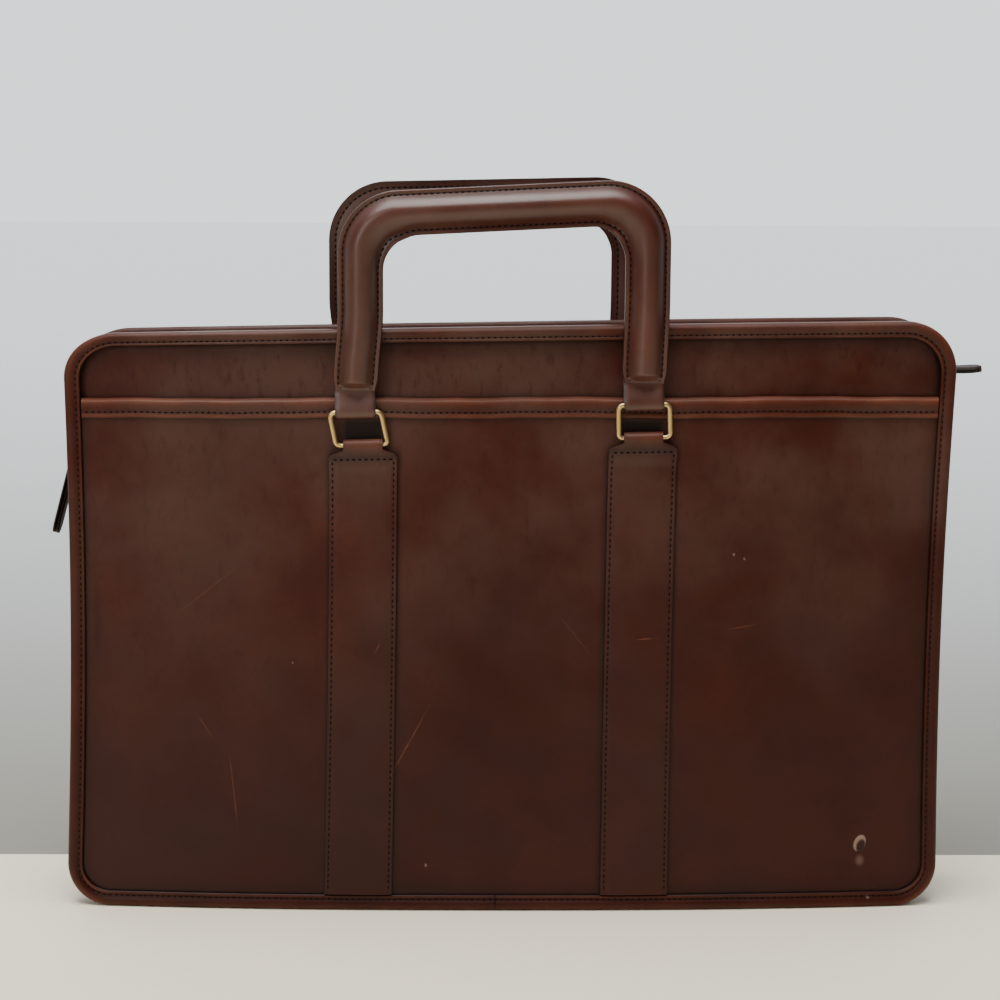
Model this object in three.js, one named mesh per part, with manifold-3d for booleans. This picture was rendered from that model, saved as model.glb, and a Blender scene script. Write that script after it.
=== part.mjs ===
// A leather document case: two bound faces joined by a gusset, a zip along the top, a flat
// pocket on the front, and a pair of stiff handles on brass rings.
// Millimetres, +X to the right seen from the front, +Y to the back, +Z up. The base is at z = 0 and
// the origin lies under the middle of the whole.
import * as THREE from "three";
import { mergeVertices } from "three/addons/utils/BufferGeometryUtils.js";
import Module from "manifold-3d";

const wasm = await Module();
wasm.setup();

// Case body
const BODY_WIDTH = 420;
const BODY_HEIGHT = 282;
const SIDE_DEPTH_LOW = 52;
const SIDE_DEPTH_TOP = 46;
const FRONT_SWELL = 10;
const BACK_SWELL = 9;
const SWELL_POWER = 2.4;
const CORNER_RADIUS_LOW = 21;
const CORNER_RADIUS_TOP = 25;
const WAIST = 2.9;
const LEFT_SAG = 8;
const SAG_POWER = 8;
const SAG_FADE = 1.2;
const TOP_SHIFT = 3;

// Leather, cloth and seams
const PANEL_LEATHER = 1.6;
const POCKET_LEATHER = 1.5;
const POCKET_EDGE_LEATHER = 1.0;
const GUSSET_LEATHER = 1.3;
const BINDING_LEATHER = 1.1;
const STRAP_LEATHER = 1.4;
const ZIP_TAPE_CLOTH = 0.8;
const SEAM_GAP = 0.3;
const STRAP_GAP = 0.4;
const BINDING_WIDTH = 7.6;
const BINDING_ROUND = 1.9;
const BINDING_REAR_ROUND = 0.76;
const BINDING_TURN = 0.57;
const SEAM_TURN = 0.5;
const GUSSET_DROP = 3;
const GUSSET_TUCK = 3;
const TOP_SINK = 2;
const GUSSET_FOLD = 0.6;

// Front pocket
const POCKET_DROP = 36.4;
const POCKET_EDGE_HEIGHT = 9.5;

// Zip
const ZIP_RIGHT_DROP = 26;
const ZIP_LEFT_DROP = 64;
const ZIP_OPENING = 10;
const ZIP_TAPE_WIDTH = 26;
const ZIP_TEETH_WIDTH = 5;
const ZIP_TEETH_HEIGHT = 1.6;
const SLIDER_PARK = 15;
const SLIDER_LENGTH = 12;
const SLIDER_WIDTH = 8;
const SLIDER_PLATE = 1.6;
const SLIDER_CHEEK = 1.3;
const SLIDER_BAR_RADIUS = 0.9;
const SLIDER_BAR_RISE = 3.4;
const SLIDER_JOIN = 0.2;
const PULL_LENGTH = 56;
const PULL_WIDTH = 11;
const PULL_LEAN_DEG = 15;
const END_TAB_REACH = 24.5;
const END_TAB_WIDTH = 19;
const END_TAB_THICKNESS = 3.4;
const END_TAB_TIP = 2.2;
const END_TAB_LIFT = 2.4;
const END_TAB_FOOT = 9;
const END_TAB_GAP = 0.45;
const END_TAB_NOSE = 0.86;

// Straps, rings and handles
const STRAP_SPACING = 132;
const STRAP_CENTRE = -3.5;
const STRAP_WIDTH = 32.5;
const STRAP_NECK_WIDTH = 18.5;
const STRAP_TAIL = 8;
const STRAP_RISE = 15;
const RING_WIRE = 2.4;
const RING_WIDTH = 26.4;
const RING_HEIGHT = 18;
const RING_CORNER = 2.8;
const RING_DROP = 21.6;
const RING_RUN = 0.3;
const HANDLE_WIDTH = 21;
const HANDLE_THICKNESS = 10;
const HANDLE_EDGE = 3.4;
const HANDLE_RIDGE_WIDTH = 12.5;
const HANDLE_BACKING = 1.4;
const HANDLE_RISE = 90;
const HANDLE_CORNER = 18.5;
const TAB_WIDTH = 18.8;
const TAB_LENGTH = 10;
const TAB_REAR_LENGTH = 6;

// How far each face swells past the side seams, as a share of its swell.
const SWELL_ROWS = [
  { height: 0, swell: 0.9 },
  { height: 0.2, swell: 1 },
  { height: 0.5, swell: 0.85 },
  { height: 0.8, swell: 0.4 },
  { height: 1, swell: 0.15 },
];

// The rounded side of a binding: inset from its outer edge as a share of its width, rise as a
// share of its round.
const BINDING_ROUND_ROWS = [
  { inset: 1, rise: 0 },
  { inset: 0.8, rise: 0.42 },
  { inset: 0.3, rise: 0.38 },
];

// The domed half of the handle's section: across as a share of the ridge's half width, rise as a
// share of the ridge's height over the sewn edges.
const RIDGE_ROWS = [
  { across: 1, rise: 0 },
  { across: 0.84, rise: 0.5 },
  { across: 0.5, rise: 0.88 },
  { across: 0, rise: 1 },
];

// The two handles, in shares of a handle's width. centre shifts the whole, step is how much higher
// the right ring sits, left and right how far each leg bends from its foot, lift and slope how much
// higher the top bar and its right end are, tab the left foot's own shift and skew that of its ring.
const HANDLES = [
  {
    name: "front", sign: -1, centre: 0, step: 0.17, left: 0, right: 0.05,
    slope: 0.24, lift: 0, tab: -0.115, skew: -0.125,
  },
  {
    name: "back", sign: 1, centre: -0.14, step: 0.05, left: -0.24, right: 0.05,
    slope: 0.12, lift: 0.285, tab: 0, skew: 0,
  },
];

const SIDE_STEPS = 5;
const LONG_STEPS = 8;
const ARC_STEPS = 6;
const LOOP_STEPS = 7;
const STRAP_STEPS = 8;
const RING_BEND_STEPS = 4;
const WIRE_SIDES = 6;
const PANEL_COLUMNS = 12;
const PANEL_ROWS = 7;
const PANEL_CORNER_ROWS = 4;
const SAME_PLACE = 0.01;

// The pull from its tip up: fall as a share of its length, width as a share of its full width,
// never under that of its neck between the slider's cheeks.
const PULL_ROWS = [
  { fall: 1, width: 0.56 },
  { fall: 0.97, width: 0.84 },
  { fall: 0.92, width: 1 },
  { fall: 0.3, width: 1 },
  { fall: 0.16, width: 0.96 },
  { fall: 0.11, width: 0 },
];

// A strap's rise to its ring: along is the share of the way, neck how far it has narrowed.
const STRAP_RISE_ROWS = [
  { along: 0.25, neck: 0 },
  { along: 0.5, neck: 0 },
  { along: 0.75, neck: 0.04 },
  { along: 0.82, neck: 0.33 },
  { along: 0.9, neck: 0.77 },
  { along: 1, neck: 1 },
];

// The wrapped end of a handle, from the handle down to its ring's bar: height over the bar as a
// share of the tab's length, and how far it has come out from the backing to the loop's front.
const TAB_ROWS = [
  { height: 1.3, out: 0.03 },
  { height: 0.8, out: 0.13 },
  { height: 0.4, out: 0.96 },
];

// Shares of a handle's leg at which its section changes or bends.
const LEG_SHARES = [0, 0.05, 0.1, 0.16, 0.25, 0.4, 0.7];

// Distances in from a face's outer surface to each layer under it.
const FRONT = { name: "front", sign: -1, swell: FRONT_SWELL };
FRONT.panel = POCKET_LEATHER + POCKET_EDGE_LEATHER + 2 * SEAM_GAP;
FRONT.flange = FRONT.panel + PANEL_LEATHER + SEAM_GAP;
FRONT.inside = FRONT.flange + GUSSET_LEATHER;
const BACK = { name: "back", sign: 1, swell: BACK_SWELL, panel: 0 };
BACK.flange = BACK.panel + PANEL_LEATHER + SEAM_GAP;
BACK.inside = BACK.flange + GUSSET_LEATHER;

const POCKET_TOP = BODY_HEIGHT - POCKET_DROP;
const ZIP_RIGHT_HEIGHT = BODY_HEIGHT - ZIP_RIGHT_DROP;
const ZIP_LEFT_HEIGHT = BODY_HEIGHT - ZIP_LEFT_DROP;
const SLIDER_HEIGHT = ZIP_LEFT_HEIGHT + SLIDER_PARK;
const RING_LOW_HEIGHT = POCKET_TOP - RING_DROP;
const SHEET_INSET = BINDING_LEATHER + SEAM_GAP;
const WEB_OUTER = BINDING_WIDTH + SEAM_TURN;
const WEB_INNER = WEB_OUTER + GUSSET_LEATHER;
const RING_BAR = RING_WIRE / 2;
const LOOP_INNER = RING_BAR + RING_RUN;
const LOOP_OUTER = LOOP_INNER + STRAP_LEATHER;
const RING_BAR_SPAN = RING_HEIGHT - RING_WIRE;
const LOW_BAR_OUT = STRAP_GAP + LOOP_OUTER;
const TOP_BAR_OUT = POCKET_EDGE_LEATHER + 2 * SEAM_GAP + LOOP_OUTER;

const leather = new THREE.MeshStandardMaterial({ color: 0x4a2618, roughness: 0.42, metalness: 0 });
const darkLeather = new THREE.MeshStandardMaterial({ color: 0x241a16, roughness: 0.5, metalness: 0 });
const brass = new THREE.MeshStandardMaterial({ color: 0xb08d46, roughness: 0.25, metalness: 1 });
const zipCloth = new THREE.MeshStandardMaterial({ color: 0x2c1c15, roughness: 0.9, metalness: 0 });

const lerp = THREE.MathUtils.lerp;

// Reads a column of a table at a place between its rows, easing from row to row.
function readTable(rows, input, output, at) {
  const last = rows.length - 1;
  let i = 0;
  while (i < last - 1 && at > rows[i + 1][input]) i += 1;
  const span = rows[i + 1][input] - rows[i][input];
  const share = THREE.MathUtils.clamp((at - rows[i][input]) / span, 0, 1);
  const slope = (a, b) => (rows[b][output] - rows[a][output]) / (rows[b][input] - rows[a][input]);
  const from = slope(Math.max(i - 1, 0), i + 1) * span;
  const to = slope(i, Math.min(i + 2, last)) * span;
  const s2 = share * share;
  const s3 = s2 * share;
  return (
    rows[i][output] * (2 * s3 - 3 * s2 + 1) +
    from * (s3 - 2 * s2 + share) +
    rows[i + 1][output] * (3 * s2 - 2 * s3) +
    to * (s3 - s2)
  );
}

// Half the depth of the case over a place on one of its faces.
function halfDepth(face, x, z) {
  const height = THREE.MathUtils.clamp(z / BODY_HEIGHT, 0, 1);
  const side = lerp(SIDE_DEPTH_LOW, SIDE_DEPTH_TOP, height) / 2;
  const across = Math.min(Math.abs(x) / (BODY_WIDTH / 2), 1);
  const belly = 1 - across ** SWELL_POWER;
  return side + face.swell * belly * readTable(SWELL_ROWS, "height", "swell", height);
}

// Where a place on the upright, unworn case has settled to with years of use: the sides draw in,
// the top leans to the right and its left end sinks.
function settled(x, y, z) {
  const height = z / BODY_HEIGHT;
  const draw = WAIST * Math.sin(Math.PI * THREE.MathUtils.clamp(height, 0, 1));
  const share = x / (BODY_WIDTH / 2);
  const leftness = Math.max(0.5 - x / BODY_WIDTH, 0) ** SAG_FADE;
  return new THREE.Vector3(
    x - draw * share + TOP_SHIFT * height,
    y,
    z - LEFT_SAG * height ** SAG_POWER * leftness,
  );
}

// A settled point at a depth under the outer surface of a face.
function facePoint(face, x, z, depth) {
  return settled(x, face.sign * (halfDepth(face, x, z) - depth), z);
}

// A closed geometry from shared points and the triangles between them, turned to face outwards.
function closedGeometry(points, triangles) {
  let volume = 0;
  for (const [a, b, c] of triangles) {
    volume += points[a].dot(points[b].clone().cross(points[c]));
  }
  const index = triangles.flatMap(([a, b, c]) => (volume < 0 ? [a, c, b] : [a, b, c]));
  const geometry = new THREE.BufferGeometry();
  geometry.setAttribute(
    "position",
    new THREE.Float32BufferAttribute(points.flatMap((p) => [p.x, p.y, p.z]), 3),
  );
  geometry.setIndex(index);
  geometry.computeVertexNormals();
  return geometry;
}

// Joins a row of equal loops of points into one skin. The row closes on itself, or its two ends
// are closed by bands between the two halves of the end loops.
function loft(loops, ring = false) {
  const count = loops[0].length;
  const triangles = [];
  const quad = (a, b, c, d) => triangles.push([a, b, c], [a, c, d]);
  const steps = ring ? loops.length : loops.length - 1;
  for (let i = 0; i < steps; i += 1) {
    const here = i * count;
    const next = ((i + 1) % loops.length) * count;
    for (let j = 0; j < count; j += 1) {
      const k = (j + 1) % count;
      quad(here + j, here + k, next + k, next + j);
    }
  }
  if (!ring) {
    const end = (loops.length - 1) * count;
    for (let j = 0; j < count / 2 - 1; j += 1) {
      quad(count - 1 - j, count - 2 - j, j + 1, j);
      quad(end + j, end + j + 1, end + count - 2 - j, end + count - 1 - j);
    }
  }
  return closedGeometry(loops.flat(), triangles);
}

// A closed geometry as a manifold solid, and back.
function solidOf(geometry) {
  const bare = geometry.clone();
  bare.deleteAttribute("normal");
  if (bare.getAttribute("uv")) bare.deleteAttribute("uv");
  const merged = mergeVertices(bare, 1e-4);
  const mesh = new wasm.Mesh({
    numProp: 3,
    vertProperties: merged.attributes.position.array,
    triVerts: new Uint32Array(merged.index.array),
  });
  return new wasm.Manifold(mesh);
}

function geometryOf(solid) {
  const mesh = solid.getMesh();
  const geometry = new THREE.BufferGeometry();
  geometry.setAttribute("position", new THREE.BufferAttribute(mesh.vertProperties, 3));
  geometry.setIndex(new THREE.BufferAttribute(mesh.triVerts, 1));
  geometry.computeVertexNormals();
  return geometry;
}

function joined(geometries) {
  return geometryOf(geometries.map(solidOf).reduce((all, next) => all.add(next)));
}

function piece(name, geometry, material) {
  const mesh = new THREE.Mesh(geometry, material);
  mesh.name = name;
  return mesh;
}

// The corners of the case's outline, anticlockwise from the lower right, seen from the front.
const HALF = BODY_WIDTH / 2;
const LOW_CORNER_X = HALF - CORNER_RADIUS_LOW;
const TOP_CORNER_X = HALF - CORNER_RADIUS_TOP;
const TOP_CORNER_Z = BODY_HEIGHT - CORNER_RADIUS_TOP;
const CORNERS = [
  { x: LOW_CORNER_X, z: CORNER_RADIUS_LOW, radius: CORNER_RADIUS_LOW, run: LONG_STEPS },
  { x: TOP_CORNER_X, z: TOP_CORNER_Z, radius: CORNER_RADIUS_TOP, run: SIDE_STEPS },
  { x: -TOP_CORNER_X, z: TOP_CORNER_Z, radius: CORNER_RADIUS_TOP, run: LONG_STEPS },
  { x: -LOW_CORNER_X, z: CORNER_RADIUS_LOW, radius: CORNER_RADIUS_LOW, run: SIDE_STEPS },
];

// A place on a corner's arc, with the outward normal; turn runs from 0 to 1.
function cornerStation(number, turn) {
  const corner = CORNERS[number];
  const angle = ((number - 1 + turn) * Math.PI) / 2;
  const nx = Math.cos(angle);
  const nz = Math.sin(angle);
  return { x: corner.x + corner.radius * nx, z: corner.z + corner.radius * nz, nx, nz };
}

// The stations of the outline: corner arcs, and the straight run that leads to each corner.
function outlineStations() {
  const stations = [];
  CORNERS.forEach((corner, number) => {
    const before = cornerStation((number + 3) % 4, 1);
    const start = cornerStation(number, 0);
    for (let i = 1; i < corner.run; i += 1) {
      const share = i / corner.run;
      stations.push({
        x: lerp(before.x, start.x, share),
        z: lerp(before.z, start.z, share),
        nx: start.nx,
        nz: start.nz,
      });
    }
    for (let i = 0; i <= ARC_STEPS; i += 1) stations.push(cornerStation(number, i / ARC_STEPS));
  });
  return stations;
}

// The station on the right or the left side at a height.
function sideStation(sign, z) {
  const corner = CORNERS[sign > 0 ? 1 : 2];
  if (z <= corner.z) return { x: sign * HALF, z, nx: sign, nz: 0 };
  const nz = (z - corner.z) / corner.radius;
  const nx = sign * Math.sqrt(1 - nz * nz);
  return { x: corner.x + corner.radius * nx, z, nx, nz };
}

// Anticlockwise order round the middle of the case, from the base's centre.
function stationAngle(station) {
  const angle = Math.atan2(station.x, BODY_HEIGHT / 2 - station.z);
  return angle < 0 ? angle + 2 * Math.PI : angle;
}

// A station a short way along the outline, towards or away from the base.
function nudged(station, distance) {
  return { ...station, x: station.x - station.nz * distance, z: station.z + station.nx * distance };
}

const STATIONS = outlineStations();
const ZIP_RIGHT = sideStation(1, ZIP_RIGHT_HEIGHT);
const ZIP_LEFT = sideStation(-1, ZIP_LEFT_HEIGHT);

// The stations that the zip runs past, with a station of its own at each end.
function zipStations() {
  const from = stationAngle(ZIP_RIGHT);
  const to = stationAngle(ZIP_LEFT);
  const between = STATIONS.filter((station) => {
    const angle = stationAngle(station);
    return angle > from + SAME_PLACE && angle < to - SAME_PLACE;
  });
  return [ZIP_RIGHT, ...between, ZIP_LEFT];
}

// The stations of the gusset: down the left side, along the base and up the right side.
function gussetStations() {
  const low = nudged(ZIP_LEFT, SEAM_GAP);
  const high = nudged(ZIP_RIGHT, -SEAM_GAP);
  const from = stationAngle(low);
  const to = stationAngle(high);
  const left = STATIONS.filter((s) => stationAngle(s) > from + SAME_PLACE);
  const right = STATIONS.filter((s) => stationAngle(s) < to - SAME_PLACE);
  const order = (a, b) => stationAngle(a) - stationAngle(b);
  return [low, ...left.sort(order), ...right.sort(order), high];
}

// A point inset from a station, at a depth under a face.
function seamPoint(face, station, inset, depth) {
  return facePoint(face, station.x - station.nx * inset, station.z - station.nz * inset, depth);
}

// A point of the strip that crosses the case at a station. share runs from -1 at the front seam to
// 1 at the back seam, and rise lifts the middle of the strip out of the case.
function webPoint(station, inset, share, rise) {
  const out = inset - rise * (1 - share * share);
  const x = station.x - station.nx * out;
  const z = station.z - station.nz * out;
  const face = share < 0 ? FRONT : BACK;
  const y = share * (halfDepth(face, x, z) - face.flange);
  return settled(x, y, z);
}

function webShare(station, y) {
  const face = y < 0 ? FRONT : BACK;
  return y / (halfDepth(face, station.x, station.z) - face.flange);
}

// The half width of the outline at a height, inset from its edge.
function halfWidthAt(z, inset) {
  const radius = z < BODY_HEIGHT / 2 ? CORNER_RADIUS_LOW : CORNER_RADIUS_TOP;
  const toEdge = Math.min(z, BODY_HEIGHT - z);
  if (toEdge >= radius) return HALF - inset;
  return HALF - radius + Math.sqrt(Math.max((radius - inset) ** 2 - (radius - toEdge) ** 2, 0));
}

// Heights of a sheet's rows: close together round the corners, even between them.
function rowHeights(inset, high) {
  const heights = [];
  for (let i = 0; i <= PANEL_CORNER_ROWS; i += 1) {
    const turn = (i / PANEL_CORNER_ROWS) * (Math.PI / 2);
    heights.push(CORNER_RADIUS_LOW - (CORNER_RADIUS_LOW - inset) * Math.cos(turn));
    heights.push(BODY_HEIGHT - CORNER_RADIUS_TOP + (CORNER_RADIUS_TOP - inset) * Math.cos(turn));
  }
  for (let i = 1; i < PANEL_ROWS; i += 1) {
    heights.push(lerp(CORNER_RADIUS_LOW, BODY_HEIGHT - CORNER_RADIUS_TOP, i / PANEL_ROWS));
  }
  return [...heights.filter((z) => z < high - 1), high].sort((a, b) => a - b);
}

// A sheet of leather in the shape of a face, from its base up to a height.
function faceSheet(face, depth, thickness, high) {
  const loops = rowHeights(SHEET_INSET, high).map((z) => {
    const half = halfWidthAt(z, SHEET_INSET);
    const row = (d) =>
      Array.from({ length: PANEL_COLUMNS + 1 }, (_, i) =>
        facePoint(face, half * ((2 * i) / PANEL_COLUMNS - 1), z, d),
      );
    return [...row(depth), ...row(depth + thickness).reverse()];
  });
  return loft(loops);
}

// The strip folded over the pocket's top edge, from side to side between the bindings.
function pocketEdge() {
  const out = -SEAM_GAP - POCKET_EDGE_LEATHER;
  const back = POCKET_LEATHER + SEAM_GAP;
  const low = POCKET_TOP - POCKET_EDGE_HEIGHT;
  const top = POCKET_TOP + SEAM_GAP;
  const crest = top + POCKET_EDGE_LEATHER;
  const section = [
    { z: low, depth: out },
    { z: top, depth: out },
    { z: crest, depth: 0 },
    { z: crest, depth: POCKET_LEATHER },
    { z: low, depth: back + POCKET_EDGE_LEATHER },
    { z: low, depth: back },
    { z: top, depth: back },
    { z: top, depth: (back - SEAM_GAP) / 2 },
    { z: top, depth: -SEAM_GAP },
    { z: low, depth: -SEAM_GAP },
  ];
  const half = HALF - BINDING_WIDTH - SEAM_GAP;
  return loft(
    Array.from({ length: PANEL_COLUMNS + 1 }, (_, i) =>
      section.map(({ z, depth }) => facePoint(FRONT, half * ((2 * i) / PANEL_COLUMNS - 1), z, depth)),
    ),
  );
}

// The binding that runs round a face and holds its layers together: a rounded channel.
function binding(face) {
  const front = -SEAM_GAP;
  const back = face.inside + SEAM_GAP;
  const outside = BINDING_ROUND_ROWS.map(({ inset, rise }) => ({
    inset: inset * BINDING_WIDTH,
    depth: front - BINDING_LEATHER - rise * BINDING_ROUND,
  }));
  const behind = BINDING_ROUND_ROWS.map(({ inset, rise }) => ({
    inset: inset * BINDING_WIDTH,
    depth: back + BINDING_LEATHER + rise * BINDING_REAR_ROUND,
  }));
  const section = [
    ...outside,
    { inset: 0, depth: front + BINDING_TURN },
    { inset: 0, depth: back - BINDING_TURN },
    ...behind.reverse(),
    { inset: BINDING_WIDTH, depth: back },
    { inset: BINDING_LEATHER, depth: back },
    { inset: BINDING_LEATHER, depth: front },
    { inset: BINDING_WIDTH, depth: front },
  ];
  const loops = STATIONS.map((s) => section.map(({ inset, depth }) => seamPoint(face, s, inset, depth)));
  return loft(loops, true);
}

// The gusset: a strip round the sides and base, its edges turned out along the two faces.
function gusset() {
  const shares = [-GUSSET_FOLD, 0, GUSSET_FOLD];
  const loops = gussetStations().map((station) => {
    const drop = Math.max(-station.nz, 0) ** 2 * GUSSET_DROP - station.nx ** 2 * GUSSET_TUCK;
    const inner = [
      seamPoint(FRONT, station, SHEET_INSET, FRONT.flange),
      seamPoint(FRONT, station, WEB_INNER, FRONT.flange),
      ...shares.map((share) => webPoint(station, WEB_INNER, share, drop)),
      seamPoint(BACK, station, WEB_INNER, BACK.flange),
      seamPoint(BACK, station, SHEET_INSET, BACK.flange),
    ];
    const outer = [
      seamPoint(FRONT, station, SHEET_INSET, FRONT.inside),
      seamPoint(FRONT, station, WEB_OUTER, FRONT.inside),
      ...shares.map((share) => webPoint(station, WEB_OUTER, share, drop)),
      seamPoint(BACK, station, WEB_OUTER, BACK.inside),
      seamPoint(BACK, station, SHEET_INSET, BACK.inside),
    ];
    return [...inner, ...outer.reverse()];
  });
  return loft(loops);
}

// The leather strip between a face and the zip.
function zipStrip(face) {
  const loops = zipStations().map((station) => {
    const edge = webShare(station, (face.sign * ZIP_OPENING) / 2);
    const middle = (edge + face.sign) / 2;
    return [
      seamPoint(face, station, SHEET_INSET, face.flange),
      seamPoint(face, station, WEB_INNER, face.flange),
      webPoint(station, WEB_INNER, middle, -TOP_SINK),
      webPoint(station, WEB_INNER, edge, -TOP_SINK),
      webPoint(station, WEB_OUTER, edge, -TOP_SINK),
      webPoint(station, WEB_OUTER, middle, -TOP_SINK),
      seamPoint(face, station, WEB_OUTER, face.inside),
      seamPoint(face, station, SHEET_INSET, face.inside),
    ];
  });
  return loft(loops);
}

// A ribbon along the zip, centred on it.
function zipRibbon(width, outer, thickness) {
  const loops = zipStations().map((station) => {
    const places = [-1, 0, 1].map((side) => webShare(station, (side * width) / 2));
    const row = (inset) => places.map((share) => webPoint(station, inset, share, -TOP_SINK));
    return [...row(outer), ...row(outer + thickness).reverse()];
  });
  return loft(loops);
}

// A box from its size and centre.
function block(size, centre) {
  return new THREE.BoxGeometry(...size).translate(...centre);
}

// The zip's slider, parked near the lower left end: a plate over the teeth, with two cheeks that
// hold the bar for the pull. Built with its plate's inner face at the origin, outward along -X.
function zipSlider() {
  const cheekReach = SLIDER_BAR_RISE + SLIDER_BAR_RADIUS + SLIDER_JOIN;
  const cheekSize = [cheekReach, SLIDER_CHEEK, 2.6 * SLIDER_BAR_RADIUS];
  const cheekAt = SLIDER_JOIN - SLIDER_PLATE - cheekReach / 2;
  const cheekSide = (SLIDER_WIDTH - SLIDER_CHEEK) / 2;
  const barLength = SLIDER_WIDTH - SLIDER_CHEEK;
  const bar = new THREE.CylinderGeometry(SLIDER_BAR_RADIUS, SLIDER_BAR_RADIUS, barLength, 12);
  bar.translate(-SLIDER_PLATE - SLIDER_BAR_RISE, 0, 0);
  return joined([
    block([SLIDER_PLATE, SLIDER_WIDTH, SLIDER_LENGTH], [-SLIDER_PLATE / 2, 0, 0]),
    block(cheekSize, [cheekAt, -cheekSide, 0]),
    block(cheekSize, [cheekAt, cheekSide, 0]),
    bar,
  ]);
}

// A ribbon swept along a path in the XZ or YZ plane. Each row of the path gives a point, the unit
// side vector, and the ribbon's half width and half thickness there.
function ribbon(rows) {
  const loops = rows.map(({ at, across, out, half, thick }) => {
    const corner = (s, t) => at.clone().addScaledVector(across, s * half).addScaledVector(out, t * thick);
    return [corner(-1, 1), corner(1, 1), corner(1, -1), corner(-1, -1)];
  });
  return loft(loops);
}

// The pull: one leather strip folded over the slider's bar, both layers hanging down together.
// Built round the bar at the origin, hanging along -Z, its width along Y.
function zipPull() {
  const layer = STRAP_LEATHER / 2;
  const radius = SLIDER_BAR_RADIUS + SEAM_GAP + layer;
  const close = layer + SEAM_GAP / 2;
  const neck = SLIDER_WIDTH / 2 - SLIDER_CHEEK - SEAM_GAP;
  const leg = (sign) =>
    PULL_ROWS.map(({ fall, width }) => ({
      x: sign * close,
      z: -fall * PULL_LENGTH,
      half: Math.max((width * PULL_WIDTH) / 2, neck),
    }));
  const turn = Array.from({ length: LOOP_STEPS + 2 }, (_, i) => {
    const angle = (i / (LOOP_STEPS + 1)) * Math.PI;
    return { x: -radius * Math.cos(angle), z: radius * Math.sin(angle), half: neck };
  });
  const path = [...leg(-1), ...turn, ...leg(1).reverse()];
  const rows = path.map((p, i) => {
    const before = path[Math.max(i - 1, 0)];
    const after = path[Math.min(i + 1, path.length - 1)];
    const along = new THREE.Vector3(after.x - before.x, 0, after.z - before.z).normalize();
    return {
      at: new THREE.Vector3(p.x, 0, p.z),
      across: new THREE.Vector3(0, 1, 0),
      out: new THREE.Vector3(-along.z, 0, along.x),
      half: p.half,
      thick: layer,
    };
  });
  return ribbon(rows);
}

// The stiff tab over the zip's right end: it lies on the zip round the corner, then stands out.
function zipEndTab() {
  const lie = END_TAB_THICKNESS / 2 + END_TAB_GAP;
  const foot = sideStation(1, ZIP_RIGHT_HEIGHT + END_TAB_FOOT);
  const heel = sideStation(1, ZIP_RIGHT_HEIGHT);
  const onWeb = (s) => {
    const sink = TOP_SINK * (1 - webShare(s, END_TAB_WIDTH / 2) ** 2);
    const inset = WEB_OUTER + sink - lie;
    return settled(s.x - s.nx * inset, 0, s.z - s.nz * inset);
  };
  const start = onWeb(foot);
  const bend = onWeb(heel);
  const tip = settled(HALF, 0, ZIP_RIGHT_HEIGHT).add(
    new THREE.Vector3(END_TAB_REACH - WEB_OUTER, 0, END_TAB_LIFT),
  );
  const curve = new THREE.QuadraticBezierCurve3(start, bend, tip);
  const rows = Array.from({ length: LONG_STEPS + 1 }, (_, i) => {
    const t = i / LONG_STEPS;
    const along = curve.getTangent(t);
    const thick = lerp(END_TAB_THICKNESS, END_TAB_TIP, t) / 2;
    return {
      at: curve.getPoint(t),
      across: new THREE.Vector3(0, 1, 0),
      out: new THREE.Vector3(-along.z, 0, along.x),
      half: (END_TAB_WIDTH / 2) * (i === LONG_STEPS ? END_TAB_NOSE : 1),
      thick,
    };
  });
  return ribbon(rows);
}

// A row of the handles' table with its shares worked out.
function inMillimetres({ name, sign, ...shares }) {
  const sizes = Object.entries(shares).map(([key, share]) => [key, share * HANDLE_WIDTH]);
  return { name, sign, ...Object.fromEntries(sizes) };
}

// The line of a handle's two lower ring bars on a face, and of the two upper ones. Both run from
// left to right in an upright plane; tilt is their slope.
function ringLines(face, handle) {
  const centre = STRAP_CENTRE + handle.centre;
  const bars = [-1, 1].map((side) => {
    const x = centre + (side * STRAP_SPACING) / 2;
    const height = RING_LOW_HEIGHT + (side > 0 ? handle.step : 0);
    return {
      x,
      height,
      low: facePoint(face, x, height, -LOW_BAR_OUT),
      top: facePoint(face, x, height + RING_BAR_SPAN, -TOP_BAR_OUT),
    };
  });
  const low = bars[0].low.clone().lerp(bars[1].low, 0.5);
  const top = bars[0].top.clone().lerp(bars[1].top, 0.5);
  const tilt = Math.atan2(bars[1].low.z - bars[0].low.z, bars[1].low.x - bars[0].low.x);
  const lean = Math.atan2(top.y - low.y, top.z - low.z);
  return { bars, low, tilt, lean };
}

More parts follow.
